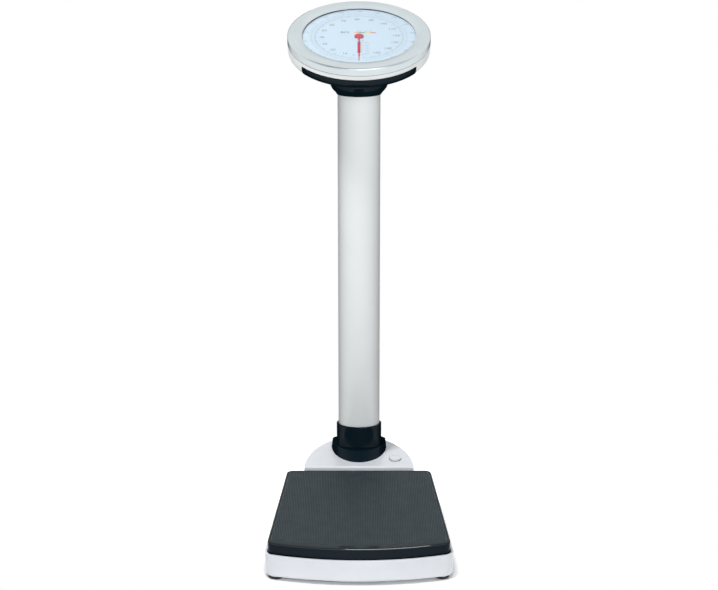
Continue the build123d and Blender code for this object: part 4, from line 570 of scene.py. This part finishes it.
# Radii, widths and heights of the print, in shares of the bezel's radius
DEG_PER_LB = KG_PER_LB * DEG_PER_KG
KG_BASE, KG_DOT, KG_SHORT, KG_LONG = 0.628, (0.616, 0.0022), (0.602, 0.0036), (0.581, 0.0046)
LB_BASE, LB_DOT, LB_SHORT, LB_LONG = 0.652, (0.664, 0.0018), (0.680, 0.0028), (0.700, 0.0034)
KG_TEXT, KG_DIGITS, KG_ZERO, KG_LAST, KG_ZERO_DROP = 0.518, 0.052, 0.056, 0.032, 0.012
LB_TEXT, LB_DIGITS, LB_ZERO, LB_LAST, LB_ZERO_DROP = 0.752, 0.034, 0.038, 0.030, 0.005


def scale_marks(name, count, step_deg, base, dot, short, long, material):
    """A ring of marks, where every second one is a dot and every tenth one a long tick."""
    marks = Print()
    for index in range(count + 1):
        angle = index * step_deg
        if index % 2:
            marks.dot(angle, *dot)
        else:
            end, width = short if index % 10 else long
            marks.tick(angle, min(base, end), max(base, end), width)
    marks.piece(name, material)


half_kg_deg = DEG_PER_KG / 2
kg_ring = (KG_BASE, KG_DOT, KG_SHORT, KG_LONG)
lb_ring = (LB_BASE, LB_DOT, LB_SHORT, LB_LONG)
scale_marks("dial_kg_marks", 2 * FULL_KG, half_kg_deg, *kg_ring, DARK_INK)
scale_marks("dial_lb_marks", FULL_LB, DEG_PER_LB, *lb_ring, GREY_INK)

kg_numbers = Print()
for kg in range(10, FULL_KG, 10):
    kg_numbers.text(str(kg), *polar(kg * DEG_PER_KG, KG_TEXT), KG_DIGITS)
kg_numbers.text("0", 0.0, -KG_TEXT - KG_ZERO_DROP, KG_ZERO)
kg_numbers.piece("dial_kg_numbers", DARK_INK)

lb_numbers = Print()
for pound in range(20, FULL_LB, 20):
    lb_numbers.text(str(pound), *polar(pound * DEG_PER_LB, LB_TEXT), LB_DIGITS)
lb_numbers.text("0", 0.0, -LB_TEXT - LB_ZERO_DROP, LB_ZERO)
lb_numbers.text(str(FULL_LB), *polar(FULL_LB * DEG_PER_LB, LB_TEXT), LB_LAST)
lb_numbers.text(str(FULL_KG), *polar(FULL_KG * DEG_PER_KG, KG_TEXT), KG_LAST)
lb_numbers.piece("dial_lb_numbers", GREY_INK)

# The index's zones: where they part, their depth on the dial and the height of their numbers
ZONE_SPLITS, ZONE_V = (-0.068, -0.005, 0.088, 0.162, 0.234), (0.106, 0.128)
ZONE_DIGITS, ZONE_DIGITS_RISE = 0.034, 0.032
SMALL_WORDS = (
    ("kg", -0.075, -KG_TEXT - 0.004, 0.032),
    ("lbs", -0.075, -LB_TEXT + 0.002, 0.030),
    ("cm", 0.046, -0.105, 0.026),
)

small_words = Print()
for words, x, v, height in SMALL_WORDS:
    small_words.text(words, x, v, height)
for words, x in zip(("18,5", "25", "30"), ZONE_SPLITS[1:]):
    small_words.text(words, x, ZONE_V[1] + ZONE_DIGITS_RISE, ZONE_DIGITS)
small_words.piece("dial_small_words", GREY_INK)

big_words = Print()
big_words.text("BMI", -0.195, 0.130, 0.056)
big_words.piece("dial_index_word", DARK_INK)

# The height scale beside the slot
CM_FROM, CM_SHORT, CM_LONG, CM_HALF_WIDTH = 0.027, 0.045, 0.062, 0.0016
CM_TEXT, CM_DIGITS = 0.108, 0.030

cm_marks = Print()
for cm in range(int(SLOT_FOOT_CM), int(SLOT_TOP_CM) + 1, 5):
    share = (SLOT_TOP_CM - cm) / (SLOT_TOP_CM - SLOT_FOOT_CM)
    v = -(SLOT_TOP_R + share * (SLOT_FOOT_R - SLOT_TOP_R)) / BEZEL_R
    reach = CM_LONG if cm % 10 == 0 else CM_SHORT
    cm_marks.bar((CM_FROM, reach), (v - CM_HALF_WIDTH, v + CM_HALF_WIDTH))
    if cm % 20 == 0:
        cm_marks.text(str(cm), CM_TEXT, v, CM_DIGITS)
cm_marks.piece("dial_height_marks", GREY_INK)

ZONE_COLOURS = {"orange": ORANGE, "green": GREEN, "yellow": YELLOW, "red": RED}
for index, (name, colour) in enumerate(ZONE_COLOURS.items()):
    zone = Print()
    zone.bar(ZONE_SPLITS[index : index + 2], ZONE_V)
    zone.piece(f"dial_zone_{name}", ink(f"ink_{name}", colour))


# Grooved top of the mat: one rib after another, cut to the mat's outline; the ribs are coloured
# lighter than the mat between them, so the grooves carry painted shade
RIB_PITCH, RIB_WIDTH, RIB_TOP, RIB_HEIGHT = 3.2 * MM, 2.3 * MM, 1.5 * MM, 0.45 * MM
RIB_MARGIN, RIB_SLOPE = 3.0 * MM, 1.2 * MM
RIB_ROOT, RIB_END = 0.05 * MM, 0.02 * MM
# Painted shade: the rib rubber is a lighter copy of the mat's, so the grooves between ribs read
# darker
MAT_RIB_PAINTED_LIGHTER = rubber("finish_mat_rib_painted_lighter", (0.036, 0.050, 0.058), 0.5, 0.4 * MM, 0.2)


def mat_ends(mat, x):
    """The depths at which a line across the mat at x enters and leaves it."""
    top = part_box("rubber_mat")[1].z
    edges = []
    for edge in mat.data.edges:
        a, b = (mat.data.vertices[i].co for i in edge.vertices)
        on_top = min(a.z, b.z) >= top - TOUCH
        crosses = (a.x - x) * (b.x - x) <= 0 and abs(a.x - b.x) >= TOUCH / 100
        if on_top and crosses:
            edges.append(a.y + (b.y - a.y) * (x - a.x) / (b.x - a.x))
    return (min(edges), max(edges)) if edges else None


def mat_ribs():
    """Low ribs from front to rear, each sloping into the mat at both ends."""
    mat = nodes["rubber_mat"]
    low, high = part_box("rubber_mat")
    mesh = bmesh.new()
    count = int((high.x - low.x - 2 * RIB_MARGIN) / RIB_PITCH)
    for index in range(count + 1):
        x = (index - count / 2) * RIB_PITCH
        ends = mat_ends(mat, x)
        if ends is None:
            continue
        front, rear = ends[0] + RIB_MARGIN, ends[1] - RIB_MARGIN
        places = (front, front + RIB_SLOPE, rear - RIB_SLOPE, rear)
        sections = []
        for y, rise in zip(places, (0.0, RIB_HEIGHT, RIB_HEIGHT, 0.0)):
            root, top = high.z - RIB_ROOT, high.z + rise - RIB_END
            corners = [
                (x - RIB_WIDTH / 2, y, root),
                (x - RIB_TOP / 2, y, top),
                (x + RIB_TOP / 2, y, top),
                (x + RIB_WIDTH / 2, y, root),
            ]
            sections.append([mesh.verts.new(corner) for corner in corners])
        for near, far in zip(sections, sections[1:]):
            for k in range(3):
                mesh.faces.new((near[k], near[k + 1], far[k + 1], far[k]))
    piece("mat_ribs", mesh, "platform", "mat_rubber", MAT_RIB_PAINTED_LIGHTER)


mat_ribs()


def join_rings(mesh, near, far):
    """A band of faces between two closed rings of as many points."""
    for k in range(len(near)):
        after = (k + 1) % len(near)
        mesh.faces.new((near[k], near[after], far[after], far[k]))


def swept_ring(name, points, up, radius, body, slot, material=None, sides=8):
    """A closed thin round strip along a flat ring of points, whose plane faces up."""
    mesh = bmesh.new()
    count = len(points)
    rings = []
    for index, point in enumerate(points):
        side = (points[(index + 1) % count] - points[index - 1]).cross(up).normalized()
        turns = [2 * math.pi * k / sides for k in range(sides)]
        spokes = [side * math.cos(a) + up * math.sin(a) for a in turns]
        rings.append([mesh.verts.new(point + spoke * radius) for spoke in spokes])
    for index in range(count):
        join_rings(mesh, rings[index], rings[(index + 1) % count])
    shade(piece(name, mesh, body, slot, material))


def circle(centre, x_dir, y_dir, radius, count=160):
    """Points round a circle in space."""
    turns = [2 * math.pi * k / count for k in range(count)]
    return [centre + (x_dir * math.cos(a) + y_dir * math.sin(a)) * radius for a in turns]


# Thin dark ring in the groove under the bezel: painted seam shade, made in the gasket rubber
SEAM_SHADE_R = 0.6 * MM
seam_shade_centre = HUB + DIAL_N * (dial_span("bezel")[0] - SEAM_SHADE_R / 2)
seam_shade_line = circle(seam_shade_centre, DIAL_X, DIAL_V, BEZEL_R - SEAM_SHADE_R)
swept_ring("bezel_seam_shade", seam_shade_line, DIAL_N, SEAM_SHADE_R, "base", "gasket_rubber")


# Neck between the column and the head: its bulge is highest at BULGE_PEAK of its length, and
# fades from REAR_FLAT_FROM to REAR_FLAT_TO of its depth. NECK_WALL is how far it stands out from
# the column, and NECK_SHIFT how far its round end lies from the dial's middle.
NECK_BULGE, BULGE_PEAK = 7.3 * MM, 0.3
REAR_FLAT_FROM, REAR_FLAT_TO = 0.2, 0.85
NECK_WALL, NECK_SHIFT = 1.6 * MM, 10.6 * MM
NECK_SIDES, NECK_RINGS = 96, 24


def eased(value, low, high):
    """A smooth step from 0 at low to 1 at high."""
    share = min(1.0, max(0.0, (value - low) / (high - low)))
    return share * share * (3 - 2 * share)


def neck_flare():
    """An open loft from the column's oval to a round on the tilted head, bulged on its way."""
    column_low, column_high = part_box("column")
    neck_low, neck_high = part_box("neck_collar")
    housing_low = dial_span("lower_housing")[0]
    oval = (column_high - column_low) / 2
    foot = (column_low + column_high) / 2
    foot.z = neck_low.z
    top = HUB + DIAL_V * NECK_SHIFT + DIAL_N * housing_low
    top_r = (neck_high.x - neck_low.x) / 2
    mesh = bmesh.new()

    def ring(share, wall):
        lift = share / BULGE_PEAK
        reach = NECK_BULGE * (lift * math.exp(1 - lift)) ** 2 * (1 - share**3)
        points = []
        for index in range(NECK_SIDES):
            turn = 2 * math.pi * index / NECK_SIDES
            x, y = math.cos(turn), math.sin(turn)
            bulge = reach * (1 - eased(y, REAR_FLAT_FROM, REAR_FLAT_TO))
            low = foot + Vector(((oval.x + wall) * x, (oval.y + wall) * y, 0))
            high = top + (DIAL_X * x + DIAL_V * y) * top_r
            points.append(mesh.verts.new(low.lerp(high, share) + Vector((x, y, 0)) * bulge))
        return points

    # The first ring lies on the column and closes the neck's foot
    rings = [ring(0.0, 0.0)] + [ring(k / NECK_RINGS, NECK_WALL) for k in range(NECK_RINGS + 1)]
    for near, far in zip(rings, rings[1:]):
        join_rings(mesh, near, far)
    flare = piece("neck_flare", mesh, "base", "black_gloss")
    shade(flare)
    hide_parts("neck_collar")


neck_flare()


# Thin dark ring round the foot of the zero knob: painted shade outlining the knob, made in the
# gasket rubber
KNOB_SEAM_SHADE_R = 0.4 * MM
knob_low, knob_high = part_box("zero_knob")
knob_r = (knob_high.x - knob_low.x) / 2
knob_foot = (knob_low + knob_high) / 2
knob_foot.z = knob_low.z + KNOB_SEAM_SHADE_R
knob_seam_shade_line = circle(knob_foot, DIAL_X, Vector((0, 1, 0)), knob_r + KNOB_SEAM_SHADE_R)
swept_ring("knob_seam_shade", knob_seam_shade_line, Z_UP, KNOB_SEAM_SHADE_R, "base", "gasket_rubber")


# Raised lip round the mat, coloured much lighter than the mat as a painted highlight along its
# edge
LIP_R, LIP_INSET = 0.5 * MM, 1.0 * MM
MAT_LIP_PAINTED_HIGHLIGHT = rubber("finish_mat_lip_painted_highlight", (0.13, 0.16, 0.175), 0.45, 0.4 * MM, 0.3)


def mat_outline():
    """The mat's upper outline in order round its middle, a little inside its edge."""
    low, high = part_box("rubber_mat")
    middle = Vector(((low.x + high.x) / 2, (low.y + high.y) / 2, high.z))
    top = [v.co for v in nodes["rubber_mat"].data.vertices if v.co.z > high.z - TOUCH]
    top.sort(key=lambda point: math.atan2(point.y - middle.y, point.x - middle.x))
    outline = []
    for point in top:
        if not outline or (point - outline[-1]).length > LIP_R:
            outline.append(point)
    return [point + (middle - point).normalized() * LIP_INSET for point in outline]


swept_ring("mat_lip", mat_outline(), Z_UP, LIP_R, "platform", "mat_rubber", MAT_LIP_PAINTED_HIGHLIGHT)


# Stage: a white floor that keeps the lamps' shadow near the scale, deepened by painted contact
# shade where ambient occlusion withholds its glow, and fades into a white surround
FLOOR_REACH, FLOOR_GLOW = 0.6, 0.8
FLOOR_FADE_FROM, FLOOR_FADE_TO, FLOOR_DEPTH_SHARE = 0.25, 0.37, 0.75
CONTACT_REACH, CONTACT_SHUT, CONTACT_OPEN = 0.05, 0.5, 0.85
FLOOR_TONES = [(0.3, (0.86, 0.86, 0.865)), (0.7, (0.88, 0.88, 0.88))]
SHOWN_TO = ("Is Camera Ray", "Is Glossy Ray", "Is Transmission Ray")


def highest(tree, sockets):
    """A socket with the highest of several values."""
    top = sockets[0]
    for socket in sockets[1:]:
        node = tree.nodes.new("ShaderNodeMath")
        node.operation = "MAXIMUM"
        tree.links.new(top, node.inputs[0])
        tree.links.new(socket, node.inputs[1])
        top = node.outputs[0]
    return top


def floor_material():
    """White, glowing for the eye except near the scale, where ambient occlusion withholds the glow
    as painted contact shade, and clear far from the scale.
    """
    t = Tree("stage_floor")
    diffuse = t.add("ShaderNodeBsdfDiffuse")
    t.link(t.ramp(t.noise(0.4, 2.0), FLOOR_TONES), diffuse.inputs[0])
    glow = t.add("ShaderNodeEmission")
    glow.inputs["Strength"].default_value = FLOOR_GLOW
    lit = t.add("ShaderNodeAddShader")
    t.link(diffuse.outputs[0], lit.inputs[0])
    t.link(glow.outputs[0], lit.inputs[1])
    path = t.add("ShaderNodeLightPath")
    # Painted contact shade: ambient occlusion takes the glow away near the scale, darkening the
    # floor there
    near = t.add("ShaderNodeAmbientOcclusion", samples=8)
    near.inputs["Distance"].default_value = CONTACT_REACH
    glow_outside_contact_shade = t.add("ShaderNodeMapRange", interpolation_type="SMOOTHSTEP")
    t.feed(glow_outside_contact_shade, Value=near.outputs["AO"], From_Min=CONTACT_SHUT, From_Max=CONTACT_OPEN)
    seen = t.add("ShaderNodeMixShader")
    shown = highest(t.tree, [path.outputs[kind] for kind in SHOWN_TO])
    t.link(t.math("MULTIPLY", shown, glow_outside_contact_shade.outputs["Result"]), seen.inputs[0])
    t.link(diffuse.outputs[0], seen.inputs[1])
    t.link(lit.outputs[0], seen.inputs[2])
    distance = t.add("ShaderNodeVectorMath", operation="LENGTH")
    t.link(t.scaled((1.0, FLOOR_DEPTH_SHARE, 1.0)), distance.inputs[0])
    away = t.add("ShaderNodeMapRange", interpolation_type="SMOOTHSTEP")
    t.feed(away, Value=distance.outputs["Value"], From_Min=FLOOR_FADE_FROM, From_Max=FLOOR_FADE_TO)
    fade = t.add("ShaderNodeMixShader")
    clear = t.add("ShaderNodeBsdfTransparent")
    t.link(away.outputs["Result"], fade.inputs[0])
    t.link(seen.outputs[0], fade.inputs[1])
    t.link(clear.outputs[0], fade.inputs[2])
    return t.finish(fade)


floor_mesh = bpy.data.meshes.new("stage_floor")
grid = bmesh.new()
bmesh.ops.create_grid(grid, x_segments=8, y_segments=8, size=FLOOR_REACH)
grid.to_mesh(floor_mesh)
grid.free()
floor = bpy.data.objects.new("stage_floor", floor_mesh)
bpy.context.scene.collection.objects.link(floor)
floor_mesh.materials.append(floor_material())


SOFT_LEVEL, GROUND_LEVEL = 0.18, 0.78
BELOW_FROM, BELOW_TO = 0.02, -0.12
BEHIND_FROM, BEHIND_TO = -0.55, 0.15


def world():
    """White behind and below the scale, a dim room in front of it, and soft light."""
    surround = bpy.data.worlds.new("surround")
    bpy.context.scene.world = surround
    surround.use_nodes = True
    tree = surround.node_tree
    tree.nodes.clear()

    def background(colour, strength):
        node = tree.nodes.new("ShaderNodeBackground")
        node.inputs["Color"].default_value = (*colour, 1.0)
        node.inputs["Strength"].default_value = strength
        return node.outputs[0]

    def mixed(factor, low, high):
        node = tree.nodes.new("ShaderNodeMixShader")
        for socket, source in zip(node.inputs, (factor, low, high)):
            tree.links.new(source, socket)
        return node.outputs[0]

    def smooth_step(value, low, high):
        node = tree.nodes.new("ShaderNodeMapRange")
        node.interpolation_type = "SMOOTHSTEP"
        node.inputs["From Min"].default_value = low
        node.inputs["From Max"].default_value = high
        tree.links.new(value, node.inputs["Value"])
        return node.outputs["Result"]

    coords = tree.nodes.new("ShaderNodeTexCoord")
    split = tree.nodes.new("ShaderNodeSeparateXYZ")
    tree.links.new(coords.outputs["Generated"], split.inputs[0])
    below = smooth_step(split.outputs["Z"], BELOW_FROM, BELOW_TO)
    behind = smooth_step(split.outputs["Y"], BEHIND_FROM, BEHIND_TO)
    white = background((1.0, 1.0, 1.0), 1.0)
    ground = background((0.96, 0.98, 1.0), GROUND_LEVEL)
    soft = mixed(below, background((0.93, 0.96, 1.0), SOFT_LEVEL), ground)
    room = background((0.10, 0.11, 0.12), 1.0)
    mirrored = mixed(highest(tree, [behind, below]), room, white)
    path = tree.nodes.new("ShaderNodeLightPath")
    shown = highest(tree, [path.outputs["Is Camera Ray"], path.outputs["Is Transmission Ray"]])
    surface = mixed(shown, mixed(path.outputs["Is Glossy Ray"], soft, mirrored), white)
    out = tree.nodes.new("ShaderNodeOutputWorld")
    tree.links.new(surface, out.inputs["Surface"])


world()


def lamp(name, place, aim, size, power, mirrored=True):
    """A lamp of a size in metres and a power in watts, at a place and aimed at a point."""
    data = bpy.data.lights.new(name, "AREA")
    data.shape = "RECTANGLE"
    data.size, data.size_y = size
    data.energy = power
    obj = bpy.data.objects.new(name, data)
    bpy.context.scene.collection.objects.link(obj)
    obj.location = place
    obj.rotation_euler = (Vector(aim) - Vector(place)).to_track_quat("-Z", "Y").to_euler()
    obj.visible_camera = False
    obj.visible_glossy = mirrored


lamp("key", (-0.95, -0.7, 3.3), (0, 0, 0.1), (0.6, 0.6), 60.0, mirrored=False)
lamp("front", (0.9, -4.3, 2.4), (0, 0, 0.95), (2.8, 1.7), 110.0)
lamp("rear", (1.2, 3.4, 1.6), (0, 0, 0.5), (1.6, 1.6), 24.0, mirrored=False)

# Camera at the photograph's viewing angle on the whole scale
CAMERA_DISTANCE, CAMERA_HEIGHT, CAMERA_PITCH_DEG = 4.2, 1.9436, 19.93
CAMERA_LENS, SENSOR = 111.4, 36.0
column_y = (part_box("column")[0].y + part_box("column")[1].y) / 2
camera_data = bpy.data.cameras.new("camera")
camera_data.lens = CAMERA_LENS
camera_data.sensor_width = SENSOR
camera = bpy.data.objects.new("camera", camera_data)
bpy.context.scene.collection.objects.link(camera)
camera.location = (0.0, column_y - CAMERA_DISTANCE, CAMERA_HEIGHT)
camera.rotation_euler = (math.radians(90.0 - CAMERA_PITCH_DEG), 0.0, 0.0)
bpy.context.scene.camera = camera
bpy.context.scene.view_settings.view_transform = "Standard"
